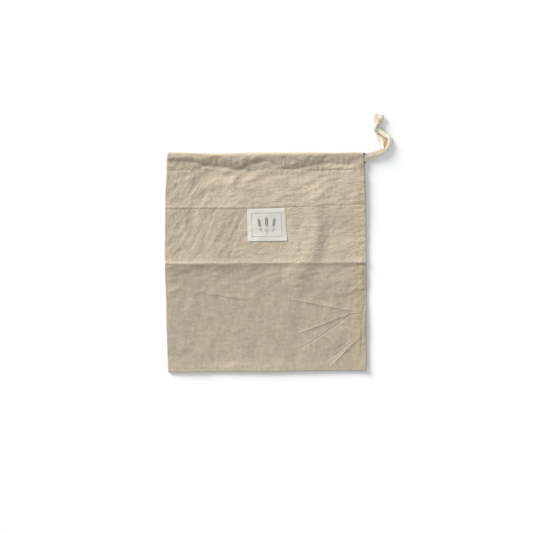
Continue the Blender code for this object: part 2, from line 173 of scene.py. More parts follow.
# The roll of cloth over the drawcord: where it lifts off the flat cloth, its crest, how far it drops
# from there to the mouth and how far the cloth dips along its foot.
CASING = table(
    "x foot crest drop dip",
    (-149, 152.2, 157.6, 0.5, 0.2), (-120, 152.2, 157.8, 0.6, 0.4), (-102, 150.4, 158.4, 0.8, 0.6),
    (-92, 147, 159, 1.2, 1.2), (-72, 145.2, 159.6, 1.5, 1.5), (-58, 143.2, 157.2, 2.4, 1.5),
    (-43, 139.8, 155, 2.9, 1.2), (-37, 138.3, 153.6, 3.1, 0.7), (-33, 140.6, 153.6, 3.1, 0.6),
    (-28, 147.4, 155.6, 2.7, 0.3), (-12, 150.8, 158.8, 2.2, 0.3), (2, 151.8, 160, 1.9, 0.3),
    (13, 148, 160, 1.8, 0.5), (22, 140.6, 160.2, 1.8, 0.7), (40, 138.8, 160.2, 1.7, 0.6),
    (60, 141.8, 160, 1.6, 1.2), (75, 145, 160.4, 1.2, 0.9), (89, 148.6, 162, 0.5, 0.3),
    (104, 147.4, 162.4, 0.3, 0.2), (132, 147, 162.4, 0.2, 0.2), (149, 140, 162.4, 0.2, 0),
)
# The flat cloth below that roll.
CASING_FLAT = table(
    "y height",
    (134, 4.1), (137, 3.6), (141, 3.8), (151, 4),
)
# Long swells of the whole front: height, and how many to the millimetre across and up.
SWELLS = table(
    "height across up phase",
    (0.2, 0.011, 0.004, 0.1), (0.16, -0.006, 0.013, 0.45), (0.13, 0.019, -0.009, 0.7),
    (0.1, 0.016, 0.021, 0.25),
)
# The pressed fold: its crest, the height of the lit cloth above it, how far the cloth drops below it
# and over what reach.
PRESSED_FOLD = table(
    "x crest above drop reach",
    (-152, -2.2, 1.9, 1, 3.6), (-142, -2.2, 2, 1, 3.6), (-134, -2.2, 2, 2, 7), (-108, -2.2, 1.9, 2.6, 7),
    (-96, -2.1, 1.7, 3.2, 7), (-60, -1.8, 1.6, 3.4, 8), (-24, -1.2, 1.6, 3.2, 8), (12, -1.1, 1.7, 2, 5.5),
    (44, -1.1, 1.5, 1.3, 3.6), (58, -0.8, 0.9, 1.7, 4.2), (70, -0.6, 0.2, 1.6, 4.5), (84, -0.5, 0.5, 2, 4),
    (96, -0.2, 0.8, 2, 4), (120, 0.1, 1.4, 2.2, 4.6), (140, 0, 1.7, 2.4, 4.2), (152, -0.4, 1.5, 2, 4.2),
)
# The lines of stitches along the hem and below the casing.
STITCH_LINES = table(
    "x hem casing",
    (-152, 80.6, 137.6), (-30, 80.8, 138.6), (36, 83, 138.6), (90, 84.2, 138.2), (112, 85.2, 138.2),
    (130, 86.2, 138.4), (152, 86.6, 138.6),
)
# Ridges and grooves beside the hem's stitches: height, how far above them, half-width, and where along
# the line they start and over what length (to the left if negative).
HEM_LINES = table(
    "height above width start fade",
    (-0.3, 0, 0.9, 5, 40), (0.26, 1.6, 1.4, 20, -60), (-0.22, 1, 2.2, 25, 20),
)

# ---------------------------------------------------------------- creases and puckers

# Columns: height (a trough is negative), half-width to the left and to the right of its path, 1 for a sharp
# crest or 2 for a soft one, points along it.
CREASE = "height left right power path"
CREASES = table(
    CREASE,
    # the fan at the seam
    (0.5, 1.7, 1.4, 1, ((38, -55), (50, -58), (70, -62), (90, -64.8), (110, -69.2), (120, -71.5),
        (149, -72.6))),
    (0.3, 9, 6, 2, ((45, -56), (78, -62), (104, -66), (118, -69), (147, -72))),
    (0.52, 1.8, 1.6, 1, ((40, -109.4), (50, -105.8), (70, -99.2), (90, -91.6), (110, -84), (118, -80.8),
        (127, -76.2), (142, -75.8))),
    (-0.45, 3.4, 7, 2, ((62, -110), (84, -97.5), (100, -90.5), (112, -84.5), (122, -79.5))),
    (0.16, 1.4, 9, 1, ((46, -134), (60, -126.4), (70, -119.6), (80, -111.8), (92, -105.4), (105, -96.4),
        (120, -85), (129, -78.6), (143, -78.4))),
    (-0.5, 6.5, 1.8, 1, ((88, -149), (100, -141.2), (110, -133.8), (120, -125), (128, -118.4), (140, -111))),
    (0.5, 3.4, 1.8, 1, ((98, -156), (107, -147.5), (117, -136), (123, -129), (133, -119.5), (143, -112))),
    (-0.55, 4, 7, 2, ((116, -143), (126, -131), (137, -120))),
    # the seam allowance shows through
    (-0.5, 1.1, 0.8, 2, ((149, -30), (148.6, -64), (145.6, -75), (145, -90), (144.7, -110), (143.6, -116),
        (143.4, -160))),
    (0.3, 1.2, 1.6, 2, ((147.6, -73), (147.2, -92), (147, -112))),
    (0.34, 2.6, 2, 2, ((143.4, 30), (143.6, -10), (143, -40), (143.4, -66))),
    (0.3, 3, 1.6, 2, ((145.6, 130), (146.2, 60), (146.6, 20))),
    # left
    (0.52, 3, 1.4, 1, ((-98, -44), (-84, -48), (-70, -49.2), (-56, -51.6), (-40, -54.2), (-22, -56.6))),
    (0.3, 2, 2, 1, ((-70, -35.5), (-56, -33), (-40, -30.6), (-26, -29.4))),
    (0.22, 1.8, 1.8, 1, ((-62, -37.4), (-52, -39), (-40, -39.5))),
    (0.75, 3.4, 2.4, 1, ((-151, -46.5), (-138, -42.6), (-127, -37))),
    # beside the label
    (1.5, 11, 18, 2, ((76, 92), (77, 60), (73, 32), (67, 10), (58, -8), (46, -26))),
    (-1.4, 11, 9, 2, ((98, 58), (99, 44), (94, 25), (88, 9), (82, -5))),
    (-0.2, 1.6, 1.6, 1, ((87, 120), (88.5, 100), (87.5, 82), (88.5, 66))),
    (-0.8, 12, 12, 2, ((76, -18), (66, -40), (54, -60), (49, -80), (50, -105), (50, -128))),
    (0.24, 1.8, 1.8, 1, ((99.5, 62), (100.5, 52), (98, 40))),
    (0.16, 1.4, 1.4, 1, ((-22, 27.6), (10, 28), (52, 29))),
    (-0.14, 1.4, 1.4, 1, ((30, 69.4), (44, 69), (62, 70.4))),
    (-0.2, 1.4, 1.4, 1, ((92, 32), (110, 31.4), (120, 32))),
    (-0.2, 1.6, 1.5, 1, ((-100, 105), (-80, 103.6), (-62, 104), (-30, 105.4), (-4, 105))),
    (-0.24, 1.6, 1.6, 1, ((94, 98.4), (104, 97.8), (112, 98.6))),
    (-0.5, 2.2, 1.8, 1, ((126, 86.2), (138, 87), (150, 86.8))),
    (-0.26, 1.6, 1.6, 1, ((90, 151.4), (110, 151.4), (132, 152))),
    # across the hem
    (-0.55, 9, 8, 2, ((-104, 100), (-70, 102.5), (-40, 103), (-10, 102))),
    (0.26, 3, 3, 2, ((-96, 101.4), (-70, 100.6), (-40, 101))),
    (0.22, 2.4, 1.6, 1, ((-16, 103.6), (30, 104.8), (84, 103.4))),
    (-0.28, 2, 2, 2, ((30, 105.4), (46, 105.6), (60, 105.2))),
    (0.26, 3, 2, 1, ((8, 93), (40, 95.4), (60, 92.6))),
    # the casing
    (1, 2.2, 3.4, 1, ((48, 139), (60, 140.6), (75, 143.6), (85, 146.4), (92, 149.4))),
    (-0.9, 2, 1.6, 2, ((-72, 146), (-71, 152), (-68, 159))),
    (0.7, 2.6, 2.4, 2, ((-37, 157), (-35.5, 151), (-36, 146))),
    (-0.8, 2.2, 2.4, 2, ((-100, 141.5), (-92, 145), (-84, 148.5))),
    (-0.7, 3, 4.6, 2, ((18, 158.5), (32, 156.5), (42, 151))),
    (-0.45, 2.2, 2.6, 2, ((31, 158), (30, 150), (33, 143))),
    (-0.45, 2, 2, 1, ((114, 156), (124, 157.8), (134, 160.6))),
    (0.8, 4.6, 2.6, 2, ((98, 142.4), (112, 141.6), (134, 141.6))),
    (-0.7, 1.4, 1.6, 1, ((58, 136.6), (76, 136.4), (96, 137.2))),
)
CREST_ROUND = 0.5

# Thin sharp creases, for the material's relief. Columns: height, half-width and points along.
LINES = table(
    "height width path",
    (0.3, 1.2, ((40, -55.6), (70, -62), (122, -72), (149, -72.8))),
    (0.34, 1.2, ((42, -109), (70, -99.2), (126, -77), (144, -75.8))),
    (-0.42, 1.3, ((48, -132.4), (70, -119), (105, -95.8), (127, -78.8), (144, -77.8))),
    (0.46, 1.2, ((88, -149), (128, -118.4), (141, -110.6))),
    (0.46, 1.2, ((97, -157), (117, -136), (143, -112))),
    (0.22, 1.2, ((-98, -44.4), (-84, -48), (-22, -56.6))),
)

# Short dents and lifts. Columns: middle, length, direction in degrees, height, half-width.
DENT = "x y length angle height width"
DENT_REACH = 0.42  # of its length, to either side of its middle
DENTS = table(
    DENT,
    # along the casing's stitches
    (-143, 136.6, 8, 0, -0.45, 1.5), (-115, 139, 8, 30, -0.45, 2), (-106, 141.5, 8, -20, -0.35, 1.6),
    (-99, 138, 5, 60, -0.6, 1.8), (-85, 136.3, 9, 8, -0.55, 1.6), (-80, 132.4, 6, 20, 0.45, 2),
    (-55, 146, 7, -10, 0.55, 2), (-45, 136.4, 12, 8, -0.45, 2), (-24, 136.6, 6, -10, -0.5, 1.6),
    (24, 140.2, 26, 0, -0.4, 1.6), (-75, 140.4, 8, 30, 0.4, 2), (97, 136.5, 6, 80, -0.45, 1.6),
    (109, 124.6, 9, 20, -0.5, 1.3), (107, 140, 9, 10, -0.3, 1.4), (126, 138.6, 10, 0, -0.35, 1.5),
    (142, 140.4, 7, -10, -0.55, 1.6), (88, 155.6, 12, 15, -0.55, 2.6), (68, 157, 7, 20, -0.45, 1.8),
    # the hem's left end
    (-108, 110.5, 20, 56, -0.75, 2.3), (-112, 101.2, 5, -10, 0.55, 1.7), (-113, 104.6, 5, -10, -0.45, 1.3),
    (-106, 124, 11, 56, -0.45, 1.8), (-128, 100.2, 6, 30, -0.65, 2), (-139, 89, 8, 0, -0.45, 2),
    (-148, 99.5, 5, -10, -0.55, 1.6), (-132, 113, 11, -60, -0.35, 2.2), (-64, 108, 18, 58, -0.3, 2.4),
    (-125, 106, 16, 62, 0.4, 2.4), (-121, 92, 14, 58, 0.45, 2.6), (-113, 96, 10, 40, 0.4, 2.2),
    (-46, 132, 30, 40, -0.5, 3.4), (-20, 133, 30, 35, -0.55, 3.8), (-84, 123, 24, 25, -0.45, 3.2),
    (-112, 92, 46, 42, 0.6, 5.5), (-100, 107, 20, 45, -0.35, 3),
    # the hem's right half
    (84, 102.8, 6, 5, 0.45, 1.8), (95, 85.6, 22, 0, -0.35, 1.4), (142, 107, 7, 0, -0.45, 1.6),
    (143, 101.8, 7, -20, -0.45, 1.5),
    # left of the label
    (-125, 62, 14, 88, -0.5, 1.8), (-107, 74.5, 8, 18, -0.55, 1.6), (-113, 70, 20, 10, -0.55, 8),
    (-138, 54, 20, 52, 0.55, 3), (-130, 55, 12, 55, -0.45, 2.2), (-127, 37.5, 12, 50, -0.5, 2.6),
    (-141, 31, 16, 85, -0.4, 4), (-116, 37, 13, 60, -0.35, 2), (-62, 43, 4, 30, -0.45, 1.4),
    (-67, 37, 16, 55, -0.55, 3.6), (-76, 31.4, 9, 20, -0.4, 1.6), (-98, 36, 26, 60, 0.3, 2.4),
    (-89, 41, 28, 62, -0.35, 2), (-82, 50, 28, 64, 0.4, 2.6), (-94, 58, 18, 38, 0.35, 3.4),
    (-43, 46, 16, 68, -0.3, 2), (-50, 36.6, 14, 20, -0.35, 1.8), (-108, 22, 24, 60, 0.28, 2.4),
    (-100, 15, 26, 58, -0.28, 2), (-86, 22, 12, 50, 0.4, 2.4), (-55, 16, 9, -30, 0.35, 1.8),
    (-128, 17, 14, 30, -0.4, 2), (-136, 17, 12, 70, 0.35, 2.4), (-133, 1.6, 14, -6, -0.45, 1.4),
    (-55, 72, 22, 56, 0.35, 2.4), (-46, 66, 20, 60, -0.3, 2.2), (-62, 66, 20, 58, -0.28, 2.2),
    (-143, 66, 14, 60, -0.35, 2.2),
    # right of the label
    (46, 25, 26, 2, -0.26, 1.8), (94, 58.6, 6, 30, -0.45, 1.4), (79, 45.5, 10, -12, -0.5, 2),
    (92, 36, 6, 80, -0.4, 1.3), (88, 29, 10, 70, -0.45, 2.6), (95, 24, 9, 50, -0.35, 1.6),
    (142, 66.4, 5, 20, -0.55, 1.5), (146, 52, 10, 98, -0.4, 2), (146.6, 38, 9, 90, -0.4, 2),
    (143, 24, 11, 60, -0.4, 1.6), (143, 7.6, 6, 0, -0.55, 1.4), (145, 3.8, 7, 0, 0.45, 1.8),
    (-12, 24.4, 20, 2, -0.32, 1.4),
    # below the pressed fold
    (-145, -4, 6, 0, -0.6, 1.5), (-145, -7.6, 7, 12, 0.5, 1.6), (-135, -15, 6, -30, -0.5, 1.6),
    (-92, -9, 24, -3, -0.45, 3.4), (-62, -24.5, 8, 0, -0.4, 1.3), (-88, -29, 8, 0, -0.45, 1.6),
    (-66, -35.6, 9, 0, -0.4, 1.3), (-53, -18, 7, 0, -0.35, 1.4), (-14, -11, 9, 0, -0.45, 1.6),
    (73, -19, 6, 0, -0.6, 1.4), (70, -14, 9, 60, -0.4, 2), (35, -13, 18, 45, 0.55, 5.5),
    (48, -37.4, 14, 5, -0.5, 1.8), (90, -22, 18, 55, 0.35, 3), (124, -9, 12, 0, -0.45, 3.6),
    (133, -16, 9, -30, -0.35, 1.4), (110, -45, 14, 25, -0.32, 2), (144, -42.6, 10, 3, -0.6, 1.6),
    (134, -41, 10, -3, 0.35, 2), (144, -4.6, 12, 3, -0.8, 1.8), (145, -10.5, 8, 30, 0.55, 2.4),
    # the lower half
    (148, -66, 6, 60, -0.5, 1.4), (150, -72.6, 3, 0, 0.5, 1.2), (-35, -154, 30, -2, 0.24, 2),
)

# Painted light and shade on the cloth: lighter and darker places, in the columns of a crease and of a dent,
# where the height is a share of the light.
SHADED = table(
    CREASE,
    (-0.09, 9, 9, 2, ((87, 84), (86, 50), (85, 34), (82, 18), (78, 6), (74, -6))),
    (-0.05, 14, 12, 2, ((78, -14), (64, -38), (46, -62), (42, -80), (47, -100), (42, -132))),
)
LIGHT_AND_SHADE_PATCHES = table(
    DENT,
    # the casing
    (8, 152, 34, 4, 0.24, 6), (108, 145, 50, -2, 0.22, 6), (-92, 150, 22, 10, 0.11, 5),
    (-67, 157, 12, 0, -0.12, 4), (-23, 141, 14, 65, -0.17, 6), (-105, 136, 26, 12, -0.18, 5),
    (36, 138, 50, 0, -0.12, 4), (84, 137, 40, 0, -0.1, 3),
    # across the hem
    (-9, 127, 26, 30, 0.3, 6), (-12, 131, 26, 35, -0.14, 3), (-42, 135, 28, 42, -0.22, 4),
    (-80, 130.5, 36, 20, -0.11, 5), (-70, 125, 26, 35, 0.12, 6), (-50, 119, 16, 60, 0.12, 7),
    (-120, 91, 36, 42, 0.18, 6), (-99, 100, 26, 60, -0.13, 5), (-134, 97, 16, 30, -0.12, 4),
    (-129, 124, 26, 10, 0.11, 4), (-64, 88, 58, 0, 0.17, 5), (-31, 101, 64, 0, -0.12, 4),
    (48, 95, 44, 5, -0.13, 5), (136, 88, 26, 0, -0.08, 5), (146, 106, 30, 90, -0.08, 6),
    (74, 118, 34, 50, 0.12, 7), (90, 118, 24, 65, -0.1, 4),
    # beside the label
    (100, 74, 30, 75, 0.09, 6), (-90, 57, 22, -20, 0.14, 8), (31, 64, 40, 90, 0.12, 8),
    (-105, 60, 12, 75, 0.12, 4), (-64, 35, 18, 60, -0.13, 5), (-140, 56, 18, 20, 0.11, 6),
    (-140, 30, 26, 40, -0.16, 8), (-6, 30, 40, 0, 0.08, 5), (-34, 28, 24, 0, -0.12, 6),
    (132, 30, 40, 15, 0.09, 7), (114, 60, 50, 5, -0.06, 14),
    # below the pressed fold
    (36, -12, 46, 65, 0.19, 12), (64, -14, 20, 60, 0.09, 6), (-112, -2, 90, 0, 0.1, 4),
    (-27, -45, 36, 22, 0.15, 9), (-139, -40, 32, 20, 0.14, 9), (139, -37, 20, 50, 0.2, 8),
    (98, -51, 26, 40, -0.1, 7),
    # the lower half
    (-55, -153, 94, 0, 0.13, 6), (-114, -132, 20, 0, -0.1, 7), (4, -80, 26, 60, -0.08, 8),
    (128, -132, 24, 50, -0.08, 7), (94, -99, 64, 36, -0.08, 5), (107, -127, 30, 55, -0.1, 7),
    (118, -134, 50, 47, 0.1, 3), (-139, -130, 34, 80, -0.06, 9),
)

# Wrinkles in a region. Columns: height, direction in degrees, cell sizes across and along, seed and
# the region, which fades out over its last column.
WRINKLES = table(
    "height angle across along seed x0 x1 y0 y1 fade",
    (0.32, 58, 4.2, 13, 11, -160, -20, 0, 124, 26), (0.17, 52, 2.6, 8, 40, -160, 0, 0, 134, 26),
    (0.16, 8, 2.6, 9, 41, -90, 160, 0, 134, 16), (0.34, 64, 8, 26, 12, -160, 0, -12, 100, 30),
    (0.62, 50, 13, 30, 35, -160, 0, 0, 150, 20), (0.4, 50, 5, 11, 13, -160, -80, 84, 142, 16),
    (0.3, 10, 4.2, 16, 14, -90, 160, 84, 140, 14), (0.62, 24, 10, 24, 15, -120, 160, 84, 146, 12),
    (0.24, 2, 3.6, 22, 16, 26, 96, 0, 84, 14), (0.28, 20, 4.4, 15, 17, 90, 160, 0, 90, 14),
    (0.5, 84, 11, 26, 36, 30, 160, 0, 140, 20), (0.34, 8, 4, 16, 18, -70, 90, 0, 32, 10),
    (0.3, 6, 4.4, 13, 19, -160, 160, -40, 0, 12), (0.5, 24, 10, 24, 37, -160, 160, -60, 0, 14),
    (0.24, 22, 4.2, 12, 20, 40, 160, -76, 0, 14), (0.11, 2, 4.4, 16, 21, -160, 160, -170, -20, 20),
    (0.15, 88, 5, 18, 22, -160, 160, -170, -20, 20), (0.3, 70, 13, 24, 38, -160, 160, -172, -20, 20),
    (0.4, 22, 4.8, 12, 23, -160, 160, 134, 164, 8), (0.3, -24, 3.4, 8, 24, -160, 160, 134, 164, 8),
    (0.42, 30, 9, 20, 39, -160, 160, 134, 164, 8), (0.3, 78, 3.8, 8, 27, -160, 160, 130, 164, 8),
    (0.42, 0, 3.2, 8, 25, 134, 170, -10, 150, 6), (0.2, 0, 3.6, 8, 26, 138, 170, -170, -10, 6),
)
# Puckers that stand along a line of stitches. Columns: where, how many, height, length to either
# side, half-width, seed.
PUCKERS = table(
    "y slope start end count height length width seed",
    (137.6, 0, -150, 149, 62, 0.34, 3.6, 1.5, 31), (84.1, 0.0095, -152, 151, 60, 0.2, 4, 1.7, 32),
    (-163, 0, -147, 151, 44, 0.24, 4, 2.2, 33),
)


def end_shift(x, level):
    """How far cloth near the mouth or the bottom is off its level, as those edges aren't straight."""
    near_mouth = clamp01((level - HEM_STITCH_Y) / (MOUTH_Y - HEM_STITCH_Y))
    near_bottom = clamp01((-HEM_STITCH_Y - level) / (-HEM_STITCH_Y - BOTTOM_Y))
    return from_table(END_EDGES, "mouth", x) * near_mouth + from_table(END_EDGES, "bottom", x) * near_bottom


def crease_height(x, y, crease):
    """A crease's share of the height, which dies away at both of its ends."""
    path = np.array(crease.path, float)
    lengths = np.hypot(*np.diff(path, axis=0).T)
    starts = np.concatenate([[0.0], np.cumsum(lengths)])
    nearest = np.full(np.shape(x), np.inf)
    side = np.zeros(np.shape(x))
    along = np.zeros(np.shape(x))
    for index, length in enumerate(lengths):
        run_x, run_y = (path[index + 1] - path[index]) / length
        off_x, off_y = x - path[index][0], y - path[index][1]
        reach = np.clip(off_x * run_x + off_y * run_y, 0.0, length)
        distance = np.hypot(off_x - reach * run_x, off_y - reach * run_y)
        closer = distance < nearest
        nearest = np.where(closer, distance, nearest)
        side = np.where(closer, run_x * off_y - run_y * off_x, side)
        along = np.where(closer, (starts[index] + reach) / starts[-1], along)
    width = np.where(side > 0.0, crease.left, crease.right)
    if crease.power == 1:
        shape = np.exp(-(np.sqrt(nearest**2 + CREST_ROUND**2) - CREST_ROUND) / width)
    else:
        shape = np.exp(-((nearest / width) ** 2))
    fade = ease(4.0 * along + 0.2) * ease(4.0 * (1.0 - along) + 0.2)
    return crease.height * fade * shape


def turned(x, y, row):
    """How far along and across a row's direction each place lies."""
    angle = math.radians(row.angle)
    return x * math.cos(angle) + y * math.sin(angle), y * math.cos(angle) - x * math.sin(angle)


def dent_height(x, y, dent):
    along, across = turned(x - dent.x, y - dent.y, dent)
    return dent.height * np.exp(-((along / (DENT_REACH * dent.length)) ** 4) - (across / dent.width) ** 2)


def casing_height(x, y):
    """The casing's profile: flat cloth, the flank of the roll, its crest and the bend to the mouth."""
    foot, crest, drop, dip = columns_at(CASING, "foot crest drop dip", x)
    flat = from_table(CASING_FLAT, "height", np.minimum(y, foot)) - dip * ease((y - foot + 6.0) / 6.0)
    rise = np.sin(0.5 * math.pi * clamp01((y - foot) / (crest - foot)))
    top = CASING_TOP + 0.3 * noise(x / 34.0, 0.0, 82)
    past = np.maximum(y - crest, 0.0) / np.maximum(MOUTH_Y - LIP_RADIUS - crest, 1.0)
    return flat + (top - flat) * rise - drop * past**2


def fold_height(x, y):
    """The pressed fold's ridge, which falls away gently above and more steeply below."""
    crest, lit, drop, reach = columns_at(PRESSED_FOLD, "crest above drop reach", x)
    beyond = y - crest - 0.5 * noise(x / 11.0, 0.0, 83)
    above = np.sqrt(np.maximum(beyond, 0.0) ** 2 + 0.25) - 0.5
    below = np.maximum(-beyond, 0.0)
    uneven = 1.0 + 0.22 * noise(x / 16.0, 0.0, 84)
    fall = drop * (1.0 - np.exp(-((below / reach) ** 1.7)))
    return uneven * (lit * np.exp(-above / 4.6) - fall) * np.exp(-below / 30.0)


def wrinkle_height(x, y, row):
    region = ease((x - row.x0) / row.fade) * ease((row.x1 - x) / row.fade)
    region = region * ease((y - row.y0) / row.fade) * ease((row.y1 - y) / row.fade)
    along, across = turned(x, y, row)
    bend = 0.6 * noise(x / 31.0, y / 31.0, row.seed + 100)
    return row.height * region * noise(along / row.along, across / row.across + bend, row.seed)


def pucker_height(x, y, puckers):
    """Short creases that a line of stitches pulls up, at uneven steps and slants."""
    random = np.random.default_rng(puckers.seed)
    count = puckers.count
    step = (puckers.end - puckers.start) / count
    places = puckers.start + step * (np.arange(count) + random.uniform(0.1, 0.9, count))
    heights = puckers.height * random.uniform(0.35, 1.3, count) * random.choice([-0.7, 1.0, 1.0], count)
    slants = np.radians(random.uniform(-42.0, 42.0, count))
    lengths = puckers.length * random.uniform(0.6, 1.7, count)
    shifts = puckers.length * random.uniform(-0.9, 0.9, count)
    total = np.zeros(np.shape(x))
    for place, height, slant, length, shift in zip(places, heights, slants, lengths, shifts):
        off_x, off_y = x - place, y - puckers.y - puckers.slope * place - shift
        across = off_x * math.cos(slant) - off_y * math.sin(slant)
        along = off_x * math.sin(slant) + off_y * math.cos(slant)
        total += height * np.exp(-((across / puckers.width) ** 2) - (along / length) ** 2)
    return total


def front_height(x, level):
    """Height of the bag's front face over what it lies on."""
    x, level = np.broadcast_arrays(np.asarray(x, float), np.asarray(level, float))
    y = level + end_shift(x, level)
    in_casing = ease((y - CASING_STITCH_Y + 2.0) / 4.0)
    flat = np.mean([from_table(FRONT_LEVELS, "height", level + shift) for shift in range(-2, 3)], axis=0)
    height = flat * (1.0 - in_casing) + casing_height(x, level) * in_casing + fold_height(x, y)
    hem_y, casing_y = columns_at(STITCH_LINES, "hem casing", x)
    over = y - hem_y
    height += (HEM_RISE - HEM_STEP) * ease((over + 40.0) / 42.0) + HEM_STEP * ease(over / 1.5 + 0.5)
    for row in HEM_LINES:
        height += row.height * bell((over - row.above) / row.width) * ease((x - row.start) / row.fade)
    sunk = np.maximum(0.12 + 0.24 * noise(x / 13.0, 0.0, 85), 0.0)
    height -= sunk * bell((y - casing_y) / 1.3)
    for row in SWELLS:
        height += row.height * np.sin(2.0 * math.pi * (row.across * x + row.up * y + row.phase))
    for height_of, rows in (
        (crease_height, CREASES), (dent_height, DENTS), (wrinkle_height, WRINKLES), (pucker_height, PUCKERS),
    ):
        for row in rows:
            height += height_of(x, y, row)
    return height


def edge_radius(level):
    in_hem = ease((level - HEM_STITCH_Y) / 4.0 + 0.5)
    return 0.5 * (from_table(FRONT_LEVELS, "height", level) + HEM_RISE * in_hem)


# ---------------------------------------------------------------- mesh helpers

MERGE_WITHIN = 1e-6


def add_mesh(name, points, faces, surface, smooth_angle=50.0, merge=False):
    """A piece from points in millimetres."""
    mesh = bpy.data.meshes.new(name)
    mesh.from_pydata((MM * np.asarray(points, float)).tolist(), [], faces)
    mesh.update()
    shape = bmesh.new()
    shape.from_mesh(mesh)
    if merge:
        bmesh.ops.remove_doubles(shape, verts=shape.verts, dist=MERGE_WITHIN)
    bmesh.ops.recalc_face_normals(shape, faces=shape.faces)
    shape.to_mesh(mesh)
    shape.free()
    mesh.shade_smooth()
    if smooth_angle:
        mesh.set_sharp_from_angle(angle=math.radians(smooth_angle))
    mesh.materials.append(surface)
    return add_object(name, mesh)


def add_values(piece, **columns):
    """Stores numbers for each of the piece's points, for its material."""
    for name, values in columns.items():
        layer = piece.data.attributes.new(name, "FLOAT", "POINT")
        spread = np.broadcast_to(np.ravel(values), len(piece.data.vertices))
        layer.data.foreach_set("value", spread.astype(np.float32))


def tube_faces(rings, sides, start=0, capped=True):
    """Faces between rings of points that follow each other, and over the first and the last."""
    faces = []
    last = start + (rings - 1) * sides
    for row in range(start, last, sides):
        for corner in range(sides):
            beside = (corner + 1) % sides
            faces.append((row + corner, row + beside, row + sides + beside, row + sides + corner))
    if capped:
        faces += [tuple(range(first, first + sides)) for first in (start, last)]
    return faces


# ---------------------------------------------------------------- materials


TONE_RANGE = (0.6, 1.2)  # how light the linen is where its tone is 0 and where it is 1


class Tree:
    """Short ways to add and link a material's nodes."""

    def __init__(self, name):
        self.material = bpy.data.materials.new(name)
        self.material.use_nodes = True
        self.nodes = self.material.node_tree.nodes
        self.links = self.material.node_tree.links
        self.shader = self.nodes["Principled BSDF"]

    def add(self, kind, values=(), **settings):
        node = self.nodes.new(kind)
        for key, value in settings.items():
            setattr(node, key, value)
        for key, value in dict(values).items():
            self.feed(node.inputs[key], value)
        return node

    def feed(self, socket, value):
        if hasattr(value, "is_output"):
            self.links.new(value, socket)
        else:
            socket.default_value = value

    def place(self):
        return self.add("ShaderNodeTexCoord").outputs["Object"]

    def values(self, name):
        return self.add("ShaderNodeAttribute", attribute_name=name).outputs["Fac"]

    def maths(self, operation, *values):
        return self.add("ShaderNodeMath", dict(enumerate(values)), operation=operation).outputs[0]

    def ranged(self, value, low, high, to_low=0.0, to_high=1.0):
        keys = ("Value", "From Min", "From Max", "To Min", "To Max")
        return self.add("ShaderNodeMapRange", zip(keys, (value, low, high, to_low, to_high))).outputs[0]

    def vectors(self, operation, *values):
        return self.add("ShaderNodeVectorMath", dict(enumerate(values)), operation=operation).outputs

    def noise(self, vector, scale, detail=2.0, roughness=0.5, output="Fac"):
        """Noise whose scale is one number, or one for each axis."""
        if isinstance(scale, tuple):
            vector = self.add("ShaderNodeMapping", {"Vector": vector, "Scale": scale}).outputs["Vector"]
            scale = 1.0
        inputs = {"Vector": vector, "Scale": scale, "Detail": detail, "Roughness": roughness}
        return self.add("ShaderNodeTexNoise", inputs).outputs[output]

    def mix(self, share, first, second, blend="MIX"):
        node = self.add("ShaderNodeMix", {0: share, 6: first, 7: second}, data_type="RGBA", blend_type=blend)
        return node.outputs[2]

    def layers(self, base, rows):
        """Colours over a base: each has a value, where it starts and is full, a share and a colour."""
        for value, start, full, share, colour in rows:
            base = self.mix(self.ranged(value, start, full, 0.0, share), base, rgb(*colour))
        return base

    def dimmed(self, base, light):
        grey = self.add("ShaderNodeCombineColor", {"Red": light, "Green": light, "Blue": light})
        return self.mix(1.0, base, grey.outputs[0], "MULTIPLY")

    def finish(self, base, rough, relief, strength, distance, constants):
        """Feeds the shader. The relief's heights are counted in distances of so many metres."""
        bump = self.add("ShaderNodeBump", {"Height": relief, "Strength": strength, "Distance": distance})
        fed = {"Base Color": base, "Roughness": rough, "Normal": bump.outputs[0], **constants}
        for key, value in fed.items():
            self.feed(self.shader.inputs[key], value)
        return self.material


def rgb(red, green, blue):
    """A colour from its usual numbers, 0 to 255."""

    def linear(value):
        value /= 255.0
        return value / 12.92 if value <= 0.04045 else ((value + 0.055) / 1.055) ** 2.4

    return (linear(red), linear(green), linear(blue), 1.0)


def weave(tree, vector, pitch):
    """Plain weave: threads that pass over and under each other, from 0 to 1."""
    split = tree.add("ShaderNodeSeparateXYZ", {"Vector": vector}).outputs
    warp, weft = (tree.maths("SINE", tree.maths("MULTIPLY", split[axis], math.pi / pitch)) for axis in (0, 1))
    return tree.maths("MULTIPLY_ADD", tree.maths("MULTIPLY", warp, weft), 0.5, 0.5)


def line_relief(tree, place):
    """The thin creases' heights, in metres: a small ridge or groove along each run of a path."""
    total = 0.0
    for line in LINES:
        last = len(line.path) - 2
        for index, ((x0, y0), (x1, y1)) in enumerate(zip(line.path, line.path[1:])):
            length = math.hypot(x1 - x0, y1 - y0)
            run_x, run_y = (x1 - x0) / length, (y1 - y0) / length
            ahead = (run_x / (MM * length), run_y / (MM * length), 0.0)
            aside = (-run_y / (MM * line.width), run_x / (MM * line.width), 0.0)
            along, across = (tree.vectors("DOT_PRODUCT", place, way)["Value"] for way in (ahead, aside))
            from_path = tree.maths("SUBTRACT", across, (run_x * y0 - run_y * x0) / line.width)
            ridge = tree.ranged(tree.maths("ABSOLUTE", from_path), 0.0, 1.0, MM * line.height, 0.0)
            zero = (run_x * x0 + run_y * y0) / length
            start = tree.ranged(along, zero, zero + (0.4 if index == 0 else 0.02), 0.0, 1.0)
            end = tree.ranged(along, zero + 1.0, zero + (0.6 if index == last else 0.98), 0.0, 1.0)
            total = tree.maths("MULTIPLY_ADD", ridge, tree.maths("MULTIPLY", start, end), total)
    return total


